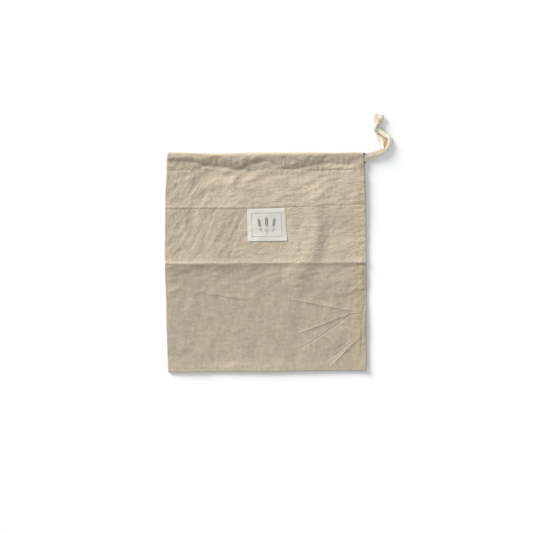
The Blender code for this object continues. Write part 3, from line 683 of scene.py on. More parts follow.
def linen_material():
    """Washed linen: uneven threads, clouds of colour, worn edges, small rumples, and light and shade painted
    in from its tone.
    """
    tree = Tree("linen_cloth")
    place = tree.place()
    wander = tree.noise(place, 90.0, 3.0, output="Color")
    laid = tree.vectors("MULTIPLY_ADD", wander, (0.003, 0.003, 0.0), place)[0]
    threads = weave(tree, laid, 0.00052)
    warp_slub = tree.noise(laid, (640.0, 42.0, 200.0), 3.0, 0.6)
    weft_slub = tree.noise(laid, (46.0, 600.0, 200.0), 3.0, 0.6)
    cloud = tree.noise(place, 26.0, 3.0)
    mottle = tree.noise(place, 170.0)
    streaks = [tree.noise(laid, scale) for scale in ((230.0, 44.0, 200.0), (40.0, 210.0, 200.0))]
    pink = tree.noise(place, (62.0, 50.0, 40.0))
    green = tree.noise(place, (50.0, 66.0, 90.0))
    fleck = tree.noise(place, 640.0, 2.0, 0.6)
    upper = tree.values("upper")

    base = tree.mix(tree.ranged(cloud, 0.3, 0.7), rgb(178, 166, 146), rgb(188, 175, 154))
    base = tree.layers(base, (
        (pink, 0.46, 0.68, 0.62, (197, 176, 157)),
        (green, 0.50, 0.72, 0.45, (182, 171, 143)),
        (mottle, 0.50, 0.75, 0.30, (212, 198, 174)),
        (mottle, 0.50, 0.25, 0.30, (156, 143, 120)),
    ))
    streak_share = tree.ranged(upper, 0.0, 1.0, 0.17, 0.12)
    for streak in streaks:
        for full, colour in ((0.72, (208, 195, 170)), (0.28, (158, 145, 121))):
            share = tree.maths("MULTIPLY", tree.ranged(streak, 0.5, full), streak_share)
            base = tree.mix(share, base, rgb(*colour))
    base = tree.layers(base, (
        (warp_slub, 0.54, 0.80, 0.26, (213, 199, 174)),
        (warp_slub, 0.46, 0.22, 0.28, (160, 144, 118)),
        (weft_slub, 0.56, 0.80, 0.26, (213, 199, 174)),
        (weft_slub, 0.44, 0.22, 0.26, (162, 147, 120)),
        (threads, 0.50, 0.00, 0.16, (150, 134, 108)),
        (fleck, 0.50, 0.75, 0.45, (214, 200, 176)),
        (fleck, 0.50, 0.25, 0.45, (150, 135, 111)),
    ))
    # the tone's painted light and shade
    base = tree.dimmed(base, tree.ranged(tree.values("tone"), 0.0, 1.0, TONE_RANGE[0], TONE_RANGE[1]))
    base = tree.layers(base, ((tree.values("worn"), 0.0, 1.0, 0.45, (226, 211, 186)),))

    crumple = tree.noise(place, 330.0, 3.0, 0.55)
    rotation = {"Vector": place, "Rotation": (0.0, 0.0, math.radians(-58.0))}
    turned_place = tree.add("ShaderNodeMapping", rotation).outputs["Vector"]
    slanted = tree.noise(turned_place, (120.0, 400.0, 200.0), 2.0, 0.6)
    level = tree.noise(laid, (130.0, 420.0, 200.0), 2.0, 0.6)
    slant = tree.values("slant")
    relief = tree.maths("MULTIPLY", threads, 0.00005)
    for value, height in (
        (warp_slub, 0.00012),
        (weft_slub, 0.00011),
        (crumple, tree.ranged(upper, 0.0, 1.0, 0.00016, 0.00036)),
        (slanted, tree.maths("MULTIPLY", slant, 0.0007)),
        (level, tree.maths("MULTIPLY", tree.maths("SUBTRACT", upper, slant), 0.0006)),
    ):
        relief = tree.maths("MULTIPLY_ADD", value, height, relief)
    relief = tree.maths("ADD", relief, line_relief(tree, place))
    constants = {"Specular IOR Level": 0.25, "Sheen Weight": 0.12, "Sheen Roughness": 0.6}
    return tree.finish(base, tree.ranged(warp_slub, 0.2, 0.8, 0.84, 0.98), relief, 1.0, 1.0, constants)


def thread_material(name, colour, dark):
    tree = Tree(name)
    twist = tree.noise(tree.place(), (1500.0, 900.0, 900.0))
    base = tree.mix(tree.ranged(twist, 0.35, 0.65), rgb(*dark), rgb(*colour))
    rough = tree.ranged(twist, 0.2, 0.8, 0.7, 0.9)
    return tree.finish(base, rough, twist, 0.5, 0.0001, {"Sheen Weight": 0.1})


def label_material():
    tree = Tree("label_cloth")
    place = tree.place()
    threads = weave(tree, place, 0.00042)
    slubs = [tree.noise(place, scale) for scale in ((1300.0, 90.0, 200.0), (90.0, 1300.0, 200.0))]
    cloud = tree.noise(place, 60.0)
    base = tree.mix(tree.ranged(cloud, 0.3, 0.7), rgb(209, 207, 198), rgb(216, 214, 205))
    base = tree.layers(base, (
        (slubs[0], 0.42, 0.22, 0.50, (196, 193, 180)),
        (slubs[1], 0.42, 0.22, 0.50, (199, 195, 182)),
        (threads, 0.50, 0.00, 0.25, (190, 187, 174)),
        (tree.values("worn"), 0.0, 1.0, 0.35, (238, 236, 228)),
    ))
    speckle = tree.ranged(tree.noise(place, 1500.0), 0.3, 0.6, 0.74, 1.0)
    base = tree.mix(tree.maths("MULTIPLY", tree.values("ink"), speckle), base, rgb(78, 80, 78))
    rough = tree.ranged(slubs[0], 0.2, 0.8, 0.75, 0.92)
    relief = tree.maths("ADD", threads, tree.maths("ADD", *slubs))
    constants = {"Specular IOR Level": 0.3, "Sheen Weight": 0.08}
    return tree.finish(base, rough, relief, 0.45, 0.0002, constants)


def tape_material():
    """Cotton tape, with a little light passing through its threads, and light and shade painted in from its
    gold, shade and dim values.
    """
    tree = Tree("cotton_tape_weave")
    along = tree.add("ShaderNodeUVMap", uv_map="tape").outputs["UV"]
    threads = weave(tree, along, 0.008)
    ribs = tree.noise(along, (30.0, 3.0, 1.0))
    picks = tree.noise(along, (2.0, 60.0, 1.0))
    cloud = tree.noise(tree.place(), 120.0)
    base = tree.mix(tree.ranged(cloud, 0.3, 0.7), rgb(240, 232, 212), rgb(246, 239, 222))
    base = tree.layers(base, (
        (ribs, 0.42, 0.25, 0.40, (220, 207, 178)),
        (threads, 0.50, 0.00, 0.25, (214, 200, 168)),
    ))
    # gold: a warm tint painted for light in the tape's shaded folds, and its deeper-coloured edges
    base = tree.mix(tree.values("gold"), base, rgb(222, 188, 128))
    # the colour that painted shade mixes in, pinkish or greenish beige
    painted_shade_colour = tree.mix(tree.ranged(cloud, 0.4, 0.6), rgb(203, 186, 170), rgb(204, 197, 175))
    base = tree.mix(tree.values("shade"), base, painted_shade_colour)
    # dim: painted shade
    base = tree.dimmed(base, tree.ranged(tree.values("dim"), 0.0, 1.0, 1.0, 0.25))
    rough = tree.ranged(ribs, 0.2, 0.8, 0.72, 0.9)
    relief = tree.maths("ADD", threads, tree.maths("ADD", ribs, picks))
    constants = {
        "Specular IOR Level": 0.3,
        "Sheen Weight": 0.15,
        "Subsurface Weight": 0.6,
        "Subsurface Radius": (1.0, 0.72, 0.42),
        "Subsurface Scale": 0.0016,
    }
    return tree.finish(base, rough, relief, 0.5, 0.0002, constants)


LINEN = linen_material()
LABEL = label_material()
TAPE = tape_material()
LINEN_THREAD = thread_material("linen_thread", (196, 180, 150), (150, 133, 104))
DARK_THREAD = thread_material("dark_thread", (104, 88, 70), (66, 54, 42))

# ---------------------------------------------------------------- the drawcord's two free ends

# The tape's middle line, and how far each half of it rises from there, in degrees.
FRONT_TAPE = table(
    "x y z left right",
    (144, 156.2, 6.5, 0, 0), (149.2, 156.8, 6.6, -6, -16), (153.5, 157.6, 6.5, -12, -40),
    (158.5, 159, 7.1, -20, -56), (164, 160.8, 7.4, -34, -66), (170, 163, 7.5, -52, -70),
    (175.8, 165.8, 7.5, -44, -74), (180.4, 169.8, 7.3, -50, -70), (183.6, 175.2, 7.1, -56, -64),
    (185.2, 181, 6.9, -58, -60), (184, 185.6, 6.8, -60, -52), (179, 188.4, 7, -62, -44),
    (174.2, 191.8, 7.2, -68, -40), (170.8, 195.8, 7.4, -20, -44), (168.2, 200, 7.4, -20, -58),
    (167.4, 203.4, 7, -40, -72), (167.6, 206.4, 7.4, -60, -66), (168.1, 210.4, 7.6, -40, -50),
    (169.2, 216, 6.7, -14, -14), (170, 222, 5.2, -4, -5),
)
BACK_TAPE = table(
    "x y z left right",
    (144, 156.2, 1.8, 0, 0), (149.2, 156.3, 1.9, -4, -4), (153.5, 156.6, 3.9, -20, -24),
    (158.5, 157.4, 5, -36, -44), (164, 158.9, 5.3, -46, -56), (169.6, 161, 5.4, -56, -62),
    (174.2, 164.2, 5.4, -64, -66), (176.2, 169.2, 5.6, -72, -74), (176.2, 174.6, 5, -62, -50),
    (175.2, 181, 4.4, -36, -24), (172.9, 187.6, 4, -18, -12), (169.6, 194.2, 4.8, -30, -32),
    (167.6, 199.8, 5.2, -58, -60), (167, 203.2, 4.6, -70, -72), (167.3, 206.6, 5.2, -66, -68),
    (169.4, 210.6, 5.6, -46, -52), (171.4, 216, 4.9, -16, -14), (172, 221.4, 3.8, -6, -6),
)
TAPE_STEP = 1.0
TAPE_CELLS = 16
TAPE_BEND = 0.45
TAPE_WEAVE_SCALE = 10.0  # of its weave's coordinates, to the metre
TAPE_LOWEST = 0.55  # its hanging edges rest on the table

# How much darker the front tape's left half is along its length: painted shade, where it faces the light and
# where its neighbours shade it.
FRONT_DIM = table(
    "along dim",
    (0, 0.2), (18, 0.35), (26, 0.68), (42, 0.66), (52, 0.55), (58, 0.2), (66, 0.2), (69, 0), (73.5, 0),
    (75.5, 0.68), (79.5, 0.68), (82, 0.2), (101, 0.18),
)


def smooth_rows(rows, step):
    """Points at about equal steps along a smooth curve through a tape's rows."""
    places = np.array(rows, float)
    ends = np.vstack([2.0 * places[0] - places[1], places, 2.0 * places[-1] - places[-2]])
    found = []
    for index in range(len(rows) - 1):
        before, start, end, after = ends[index : index + 4]
        pieces = max(1, round(float(np.linalg.norm((end - start)[:3])) / step))
        for t in np.arange(pieces) / pieces:
            bend = 2.0 * before - 5.0 * start + 4.0 * end - after
            swing = 3.0 * start - before - 3.0 * end + after
            found.append(start + 0.5 * t * ((end - before) + t * (bend + t * swing)))
    found.append(places[-1])
    return np.array(found)


def tape_sections(route, seed):
    """The tape's cross-sections: each half at its own slope, with a round bend between them."""
    middle = route[:, :3]
    along = np.gradient(middle, axis=0)
    along /= np.linalg.norm(along, axis=1)[:, None]
    left = np.cross((0.0, 0.0, 1.0), along)
    left /= np.linalg.norm(left, axis=1)[:, None]
    up = np.cross(along, left)[:, None]
    left = left[:, None]
    lengths = np.concatenate([[0.0], np.cumsum(np.linalg.norm(np.diff(middle, axis=0), axis=1))])
    shares = np.linspace(-1.0, 1.0, TAPE_CELLS + 1)
    on_right = ease(shares / TAPE_BEND + 0.5)
    slope = np.radians(-route[:, 3:4] * (1.0 - on_right) + route[:, 4:5] * on_right)
    step = TAPE_WIDTH / TAPE_CELLS
    between = 0.5 * (slope[:, 1:] + slope[:, :-1])
    out = np.pad(np.cumsum(step * np.cos(between), axis=1), ((0, 0), (1, 0)))
    high = np.pad(np.cumsum(step * np.sin(between), axis=1), ((0, 0), (1, 0)))
    centre = TAPE_CELLS // 2
    out, high = out - out[:, centre, None], high - high[:, centre, None]
    high = high + 0.14 * noise(lengths[:, None] / 5.0, 3.0 * shares[None, :], seed)
    points = middle[:, None] - left * out[..., None] + up * high[..., None]
    points[..., 2] = np.maximum(points[..., 2], TAPE_LOWEST)
    normal = up * np.cos(slope)[..., None] + left * np.sin(slope)[..., None]
    thick = 0.5 * TAPE_THICK * np.where(np.abs(shares) < 0.9, 1.0, 0.7)[None, :, None]
    return points + thick * normal, points - thick * normal, lengths, shares


def add_tape_looks(piece, places, **looks):
    """The weave's coordinates for each point of a piece of tape, and its painted tints: how golden, shaded
    and dim it is.
    """
    corners = np.empty(len(piece.data.loops), np.int32)
    piece.data.loops.foreach_get("vertex_index", corners)
    layer = piece.data.uv_layers.new(name="tape")
    layer.data.foreach_set("uv", places[corners].astype(np.float32).ravel())
    add_values(piece, **looks)


def add_tape(name, rows, seed, looks_of):
    """A run of tape as a closed mesh, with its middle line."""
    route = smooth_rows(rows, TAPE_STEP)
    tops, bottoms, lengths, shares = tape_sections(route, seed)
    columns, count = len(shares), 2 * len(shares)
    faces = tube_faces(len(route), count, capped=False)
    for first in (0, (len(route) - 1) * count):
        for column in range(columns - 1):
            under = first + count - 1 - column
            faces.append((first + column, first + column + 1, under - 1, under))
    ring = np.concatenate([tops, bottoms[:, ::-1]], axis=1)
    piece = add_mesh(name, ring.reshape(-1, 3), faces, TAPE)
    along = np.repeat(lengths, count)
    across = np.tile(np.concatenate([shares, shares[::-1]]), len(route))
    underside = np.tile(np.repeat((0.0, 1.0), columns), len(route))
    places = MM * TAPE_WEAVE_SCALE * np.stack([across * 0.5 * TAPE_WIDTH, along], axis=1)
    add_tape_looks(piece, places, **looks_of(along, across, underside))
    return piece, route[:, :3]


# Painted light and shade of the front tape: gold for warm light in its shaded folds and its deeper-coloured
# edges, shade at its start and its tails, and dim for painted shade on its left half.
def front_looks(along, across, underside):
    run = ramps(along, (20.0, 28.0), (76.0, 72.0))
    gold = (0.85 * ramps(across, (-0.05, -0.35)) + 0.25 * underside) * run
    tail_side = ramps(along, (82.0, 88.0)) * ramps(across, (0.2, -0.2))
    tails = ramps(along, (74.0, 79.0)) * (0.35 + 0.45 * tail_side)
    start = ramps(along, (30.0, 18.0)) * (0.75 - 0.25 * ramps(across, (-0.1, 0.3)))
    dim = ramps(across, (0.1, -0.2)) * from_table(FRONT_DIM, "dim", along)
    return {"gold": clamp01(gold), "shade": clamp01(tails + start), "dim": dim}


# Painted light and shade of the back tape: gold at its edges, shade towards its tails, lighter where a tail's
# edge hangs in shade, and dim for painted shade towards its tails.
def back_looks(along, across, underside):
    edge = ramps(np.abs(across), (0.7, 0.95))
    run = ramps(along, (26.0, 34.0), (66.0, 58.0))
    lit_edge = ramps(along, (82.0, 87.0)) * ramps(across, (0.1, 0.6))
    shade = 0.30 + 0.55 * ramps(along, (62.0, 68.0)) * (1.0 - 1.5 * lit_edge)
    dim = (0.15 + 0.15 * ramps(across, (0.1, -0.2))) * ramps(along, (66.0, 70.0))
    return {"gold": clamp01((0.30 * edge + 0.06) * run), "shade": clamp01(shade), "dim": dim}


tape_front, front_route = add_tape("tape_front_end", FRONT_TAPE, 41, front_looks)
tape_back, back_route = add_tape("tape_back_end", BACK_TAPE, 42, back_looks)

# ---------------------------------------------------------------- the knot

KNOT_CENTRE = np.array((166.7, 205.1, 5.0))
KNOT_SHADE = (202.5, 200.5)  # the levels where the shade under it begins and is full
KNOT_STEPS = 44
KNOT_SIDES = 12
CORE_RADIUS = 3.0
CORE_RINGS = 10
CORE_SEGMENTS = 16
# Turns of tape round the knot: shift along the tape, radius, tilt and twist in degrees, width, start
# and end of the turn in degrees.
KNOT_TURNS = table(
    "shift radius tilt twist width start end",
    (-1.7, 3.3, 24, 8, 3.6, -200, 190), (1.5, 3.1, -22, -6, 3.4, -190, 200), (0, 3.7, 52, 20, 3, -150, 160),
)


def knot_mesh():
    """Turns of bunched tape wound round a core."""
    points, faces = [], []
    for turn in KNOT_TURNS:
        faces += tube_faces(KNOT_STEPS + 1, KNOT_SIDES, len(points))
        tilt, twist = math.radians(turn.tilt), math.radians(turn.twist)
        axis = np.array((math.sin(tilt), math.cos(tilt), math.sin(twist)))
        axis /= np.linalg.norm(axis)
        first = np.cross(axis, (0.0, 0.0, 1.0))
        first /= np.linalg.norm(first)
        second = np.cross(axis, first)
        centre = KNOT_CENTRE + (0.0, turn.shift, 0.0)
        for step in range(KNOT_STEPS + 1):
            share = step / KNOT_STEPS
            angle = math.radians(turn.start + (turn.end - turn.start) * step / KNOT_STEPS)
            out = first * math.cos(angle) + second * math.sin(angle)
            reach = turn.radius - 1.1 * (1.0 - float(ease(6.0 * share)) * float(ease(6.0 * (1.0 - share))))
            for corner in range(KNOT_SIDES):
                around = 2.0 * math.pi * corner / KNOT_SIDES
                wide = 0.5 * turn.width * math.cos(around)
                thick = 0.62 * math.sin(around) * (1.0 + 0.07 * math.cos(3.0 * around + 2.0 * angle))
                crown = -0.30 * math.cos(around) ** 2
                points.append(centre + axis * (wide + share - 0.5) + out * (reach + thick + crown))
    faces += tube_faces(CORE_RINGS + 1, CORE_SEGMENTS, len(points), capped=False)
    for ring in range(CORE_RINGS + 1):
        tilt = math.pi * ring / CORE_RINGS
        for segment in range(CORE_SEGMENTS):
            around = 2.0 * math.pi * segment / CORE_SEGMENTS
            flat = math.sin(tilt)
            way = (flat * math.cos(around), 1.15 * math.cos(tilt), flat * math.sin(around))
            points.append(KNOT_CENTRE + CORE_RADIUS * np.array(way))
    return points, faces


def points_of(piece):
    """A piece's points, in metres."""
    points = np.empty(3 * len(piece.data.vertices), np.float32)
    piece.data.vertices.foreach_get("co", points)
    return points.reshape(-1, 3)


knot = add_mesh("drawcord_knot", *knot_mesh(), TAPE, merge=True)
knot_points = points_of(knot)
# Painted shade on the knot: the shade colour all over, and dimmer under it, towards its lower side.
knot_dim = 0.10 + 0.30 * ramps(knot_points[:, 1] / MM, KNOT_SHADE)
add_tape_looks(knot, TAPE_WEAVE_SCALE * knot_points[:, :2], gold=0.0, shade=0.6, dim=knot_dim)

# ---------------------------------------------------------------- the linen

# Bands of the grid, each with its start, end and number of cells. These are shares of the bag's width.
FRONT_COLUMNS = ((0.0, 0.57, 92), (0.57, 1.0, 120))
FRONT_CELLS = sum(cells for start, end, cells in FRONT_COLUMNS)
BACK_STEP = 4
LEFT_RIM = 8
LEFT_REACH = 0.55
RIGHT_RIM = 24
RIGHT_REACH = 0.7
LIP_STEPS = 6
BOTTOM_RADIUS = 1.2
BOTTOM_STEPS = 4
BACK_BASE = 0.30
INNER_SHARE = 0.46
# And these are levels, down the outside and up the inside of the hem.
OUTER_ROWS = (
    (MOUTH_Y - LIP_RADIUS, 130, 36), (130, 90, 32), (90, 77, 18), (77, 8, 48), (8, -12, 26),
    (-12, -42, 20), (-42, -158, 96), (-158, BOTTOM_Y + BOTTOM_RADIUS, 4),
)
INNER_ROWS = ((85, 91, 3), (91, 134, 8), (134, MOUTH_Y - LIP_RADIUS, 12))
# How deep the hem's inner layer lies under the outer face.
INNER_DEPTHS = table(
    "y depth",
    (84, 1.2), (88, 2.2), (137, 2.2), (145, 2.6), (149, 2.9), (162, 2.9), (163.5, 3),
)
GROOVE_DEPTH = 1.1
SLOT_RAMPS = ((148.9, 149.8), (163.0, 162.1))
SLOT_DEPTH = 5.0
SLOT_HALF = 0.75


def sheet_rows():
    """Level, depth and squash of each row, from inside the hem, over the mouth, down to the bottom seam."""
    rows = [(level, float(from_table(INNER_DEPTHS, "depth", level)), 1.0) for level in bands(INNER_ROWS)[:-1]]
    for step in range(LIP_STEPS + 1):
        angle = math.pi * (1.0 - step / LIP_STEPS)
        depth = LIP_RADIUS * (1.0 - math.cos(angle))
        rows.append((MOUTH_Y - LIP_RADIUS + LIP_RADIUS * math.sin(angle), depth, 1.0))
    rows += [(level, 0.0, 1.0) for level in bands(OUTER_ROWS)[1:]]
    for step in range(1, BOTTOM_STEPS + 1):
        angle = 0.5 * math.pi * step / BOTTOM_STEPS
        rows.append((BOTTOM_Y + BOTTOM_RADIUS * (1.0 - math.sin(angle)), 0.0, max(math.cos(angle), 0.1)))
    return np.array(rows).T[..., None]


def edge_wobble(level, seed):
    return 0.22 * noise(level / 9.0, 0.0, seed) + 0.3 * noise(level / 28.0, 0.0, seed + 1)


def edge_taper(x, heights, levels, fold, seam):
    """The cloth thins towards its fold and its seams, but for the casing with the drawcord in it."""
    casing = ramps(levels, (128.0, 142.0))
    hem = ramps(levels, (76.0, 90.0))
    near_seam = 1.0 - ease((seam - x) / 13.0)
    near_fold = 1.0 - ease((x - fold) / 9.0)
    thin = 1.0 - (1.0 + 0.11 * near_seam * (1.0 - hem)) * (1.0 - 0.12 * near_fold)
    return heights * (1.0 - thin * (1.0 - 0.85 * casing))


def half_turn(start, steps):
    """The angles inside half a turn, which starts at one face of an edge and ends at the other."""
    return np.linspace(start, math.pi - start, steps + 1)[1:-1]


def edge_z(front, back, turns):
    return 0.5 * (front + back) + 0.5 * (front - back) * np.cos(turns)


def linen_sheet():
    """The whole cloth: front, fold, back and the hem's inner layer, as a grid closed round the bag."""
    levels, depths, squashes = sheet_rows()
    radius = edge_radius(levels)
    fold = from_table(SIDE_EDGES, "fold", levels) + LEFT_REACH * radius + edge_wobble(levels, 51)
    seam = from_table(SIDE_EDGES, "seam", levels) - RIGHT_REACH * radius + edge_wobble(levels, 53)
    front_share = bands(FRONT_COLUMNS)
    front_x, back_x = (fold + (seam - fold) * share for share in (front_share, front_share[::-BACK_STEP]))
    heights = edge_taper(front_x, front_height(front_x, levels), levels, fold, seam)
    front_z = heights - np.minimum(depths, INNER_SHARE * heights)
    over_back = np.array([np.interp(*row) for row in zip(back_x, front_x, heights)])
    back_z = BACK_BASE + 0.08 * (1.0 + noise(back_x / 14.0, levels / 14.0, 57))
    back_z = back_z + np.minimum(depths, INNER_SHARE * over_back - BACK_BASE)
    front_mid, back_mid = 0.5 * (heights + BACK_BASE), 0.5 * (over_back + BACK_BASE)
    front_z = front_mid + (front_z - front_mid) * squashes
    back_z = back_mid + (back_z - back_mid) * squashes
    front_y, back_y = (levels + end_shift(x, levels) for x in (front_x, back_x))

    # the seam's edge, with its groove and the two slots that the drawcord leaves by
    turns = half_turn(0.0, RIGHT_RIM)
    rim_z = edge_z(front_z[:, -1:], back_z[:, :1], turns)
    reach = np.maximum(RIGHT_REACH * radius - depths, 0.25) * squashes**0.5
    outer = clamp01(1.0 - depths / 1.5)
    groove = GROOVE_DEPTH * bell((turns - 0.5 * math.pi) / 0.32)
    middles = (front_z[:, -1:] - TAPE_DEPTH, back_z[:, :1] + TAPE_DEPTH)
    near_slot = np.max([np.exp(-(((rim_z - z) / SLOT_HALF) ** 4)) for z in middles], axis=0)
    slots = SLOT_DEPTH * ramps(levels, *SLOT_RAMPS) * near_slot
    rim_x = seam + reach * np.sin(turns) - (groove + slots) * outer

    # the folded edge
    left_turns = half_turn(math.pi, LEFT_RIM)
    left_z = edge_z(front_z[:, :1], back_z[:, -1:], left_turns)
    left_x = fold - np.maximum(LEFT_REACH * radius - depths, 0.3) * np.sin(left_turns)

    rim_y, left_y = np.repeat(front_y[:, -1:], len(turns), 1), np.repeat(front_y[:, :1], len(left_turns), 1)
    x = np.concatenate([front_x, rim_x, back_x, left_x], axis=1)
    y = np.concatenate([front_y, rim_y, back_y, left_y], axis=1)
    z = np.concatenate([front_z, rim_z, back_z, left_z], axis=1)

    # the bottom is closed by faces between the front's and the back's last points
    rows, count = x.shape
    faces = tube_faces(rows, count, capped=False)
    last = (rows - 1) * count
    seam_point = last + FRONT_CELLS
    back_start = seam_point + 1 + len(turns)
    fold_point = back_start + FRONT_CELLS // BACK_STEP
    for cell in range(FRONT_CELLS // BACK_STEP):
        front = last + cell * BACK_STEP
        faces.append((*range(front, front + BACK_STEP + 1), fold_point - cell - 1, fold_point - cell))
    faces.append((*range(fold_point, fold_point + len(left_turns) + 1), last))
    faces.append(tuple(range(seam_point, back_start + 1)))
    return np.stack([x, y, z], axis=-1), faces, levels


# Painted light and shade over regions of the cloth: how much lighter or darker, and where each comes in or
# goes out across and up the bag.
PAINTED_REGIONS = table(
    "light across up",
    # the lower half, and its darkest part under the pressed fold
    (-0.115, (), [(6, -6)]), (-0.045, (), [(-6, -14), (-60, -46)]),
    # the hem, and its left end
    (0.075, [(-112, -82)], [(84, 86), (134, 128)]), (-0.09, [(-112, -126)], [(84, 87), (134, 128)]),
    # the casing
    (-0.1, [(-110, -90), (96, 76)], [(138, 144), (161, 157)]),
    # the bottom edge
    (0.1, (), [(-159.5, -161.5)]), (0.16, (), [(-163.2, -164.4)]),
)


def linen_values(points, levels):
    """How light (painted light and shade), worn, rumpled and slantingly rumpled the cloth is, for each point.
    """
    x, y = points[..., 0], points[..., 1]
    # The tone is painted light and shade: lighter right of the label, darker along the fold and the seam,
    # lighter near the bottom, and the regions, bands and patches listed above.
    tone = 0.99 + 0.11 * bell((x - 60.0) / 42.0) * bell((y - 40.0) / 46.0)
    tone -= 0.05 * bell((x + 150.0) / 10.0) + 0.07 * bell((x - 144.0) / 5.0)
    tone += 0.05 * bell((y + 155.0) / 6.0) * ramps(x, (130.0, 70.0))
    tone += sum(row.light * ramps(x, *row.across) * ramps(y, *row.up) for row in PAINTED_REGIONS)
    tone += sum(crease_height(x, y, row) for row in SHADED) + sum(dent_height(x, y, row) for row in LIGHT_AND_SHADE_PATCHES)
    low, high = TONE_RANGE
    crest = from_table(PRESSED_FOLD, "crest", x)
    worn = 0.8 * bell((levels - MOUTH_Y) / 2.0) + 0.22 * bell((y - crest - 1.4) / 2.2)
    upper = ramps(y, (-30.0, 4.0))
    slant = upper * ramps(x, (-10.0, -50.0)) * ramps(y, (136.0, 128.0))
    tone = (tone - low) / (high - low)
    return {"tone": clamp01(tone), "worn": clamp01(worn), "upper": upper, "slant": slant}


sheet_points, sheet_faces, sheet_levels = linen_sheet()
linen = add_mesh("linen_cloth", sheet_points.reshape(-1, 3), sheet_faces, LINEN, smooth_angle=None)
add_values(linen, **linen_values(sheet_points, sheet_levels))

# ---------------------------------------------------------------- the drawcord inside the hem

RIBBON_START_X = 143.2
RIBBON_TURN_X = -143.6
RIBBON_BACK_Z = 1.75
RIBBON_CELLS = (220, 12)
RIBBON_TURN_STEPS = 10
RIBBON_BACK_STEP = 4


def ribbon_mesh():
    """The flat tape from the seam along the front to the fold, round it and back to the seam."""
    cells, columns = RIBBON_CELLS
    y = np.linspace(TAPE_TOP_Y - TAPE_WIDTH, TAPE_TOP_Y, columns + 1)
    front_x = np.linspace(RIBBON_START_X, RIBBON_TURN_X, cells + 1)
    front_z = front_height(*np.meshgrid(front_x, y, indexing="ij")) - TAPE_DEPTH
    rows = [(x, z, (0.0, 0.0, 1.0)) for x, z in zip(front_x, front_z)]
    half = 0.5 * (front_z[-1] - RIBBON_BACK_Z)
    for angle in np.linspace(0.5 * math.pi, 1.5 * math.pi, RIBBON_TURN_STEPS + 1)[1:-1]:
        x = RIBBON_TURN_X + half * math.cos(angle)
        z = RIBBON_BACK_Z + half * (1.0 + math.sin(angle))
        rows.append((x, z, (math.cos(angle), 0.0, math.sin(angle))))
    rows += [(x, RIBBON_BACK_Z, (0.0, 0.0, -1.0)) for x in front_x[::-RIBBON_BACK_STEP]]
    middle = np.array([np.stack(np.broadcast_arrays(x, y, z), axis=-1) for x, z, up in rows])
    face = 0.5 * TAPE_THICK * np.array([up for x, z, up in rows])[:, None]
    ring = np.concatenate([middle + face, (middle - face)[:, ::-1]], axis=1)
    return ring.reshape(-1, 3), tube_faces(*ring.shape[:2])


ribbon = add_mesh("drawcord_in_hem", *ribbon_mesh(), TAPE)
add_tape_looks(ribbon, TAPE_WEAVE_SCALE * points_of(ribbon)[:, 1::-1], gold=0.0, shade=0.1, dim=0.0)

# ---------------------------------------------------------------- stitches

THREAD_SIDES = 6
THREAD_RADIUS = 0.17
STITCH_PITCH = 3.0
STITCH_GAP = 0.7
STITCH_STRAY = 0.12
BACK_STITCH_Z = 0.42
STITCH_LIFT = 0.05
TACK_LIFT = 0.1
TACK_UP = (0.25, 0.0, 0.97)
# A stitch from end to end: how far along, how high over its ends, how thick.
THREAD_ARCH = ((0.0, -0.30, 0.7), (0.16, 0.05, 1.0), (0.5, 0.14, 1.15), (0.84, 0.05, 1.0), (1.0, -0.30, 0.7))
FRONT_POINTS = sheet_points[:, : FRONT_CELLS + RIGHT_RIM // 2].reshape(-1, 3)

# Dark stitches of the seam where the drawcord leaves it: middle, length, direction in degrees, radius.
TACKS = table(
    "x y length angle radius",
    (147.6, 163, 2.4, 10, 0.55), (148.2, 162.2, 2, 60, 0.45), (146.6, 163.4, 1.6, -20, 0.35),
    (147.8, 150.2, 2.8, 15, 0.6), (148.4, 149.2, 2.2, 70, 0.5), (146.8, 150.8, 1.8, 40, 0.35),
    (147.2, 146.4, 1.8, 80, 0.38), (147.6, 144.6, 1.6, 20, 0.32), (147, 141, 2.2, 30, 0.42),
    (143.2, 140.8, 2, 0, 0.36), (147.4, 138.4, 1.8, 60, 0.36), (145.4, 153.6, 1.6, 30, 0.26),
    (143.8, 157.4, 1.6, 60, 0.26), (146.2, 158.6, 1.5, 10, 0.24), (144.6, 136, 1.6, -10, 0.28),
    (146.8, 130.6, 1.8, 20, 0.34), (143.4, 130.4, 1.6, 0, 0.28), (147.6, 126.8, 1.6, 60, 0.28),
    (147.2, 120, 1.8, 30, 0.28), (148, 113.6, 1.6, 70, 0.26), (147.4, 106.4, 1.8, 20, 0.3),
    (148.2, 99.2, 1.6, 50, 0.26), (147.8, 92, 1.6, 30, 0.28), (145.6, 86.4, 1.8, 0, 0.28),
    (148.4, 79, 1.6, 60, 0.22), (148.6, 68, 1.5, 50, 0.22), (148.8, 55, 1.5, 60, 0.2),
)


def stitch_mesh(runs):
    """Small arched threads, each from (start, end, up, radius) with both ends sunk into the cloth."""
    points, faces = [], []
    for *ends, radius in runs:
        start, end, up = (np.array(end, float) for end in ends)
        run = end - start
        along = run / np.linalg.norm(run)
        side = np.cross(along, up)
        side /= np.linalg.norm(side)
        lift = np.cross(side, along)
        faces += tube_faces(len(THREAD_ARCH), THREAD_SIDES, len(points))
        for share, rise, fat in THREAD_ARCH:
            centre = start + run * share + lift * rise
            for corner in range(THREAD_SIDES):
                angle = 2.0 * math.pi * corner / THREAD_SIDES
                points.append(centre + radius * fat * (side * math.cos(angle) + lift * math.sin(angle)))
    return points, faces


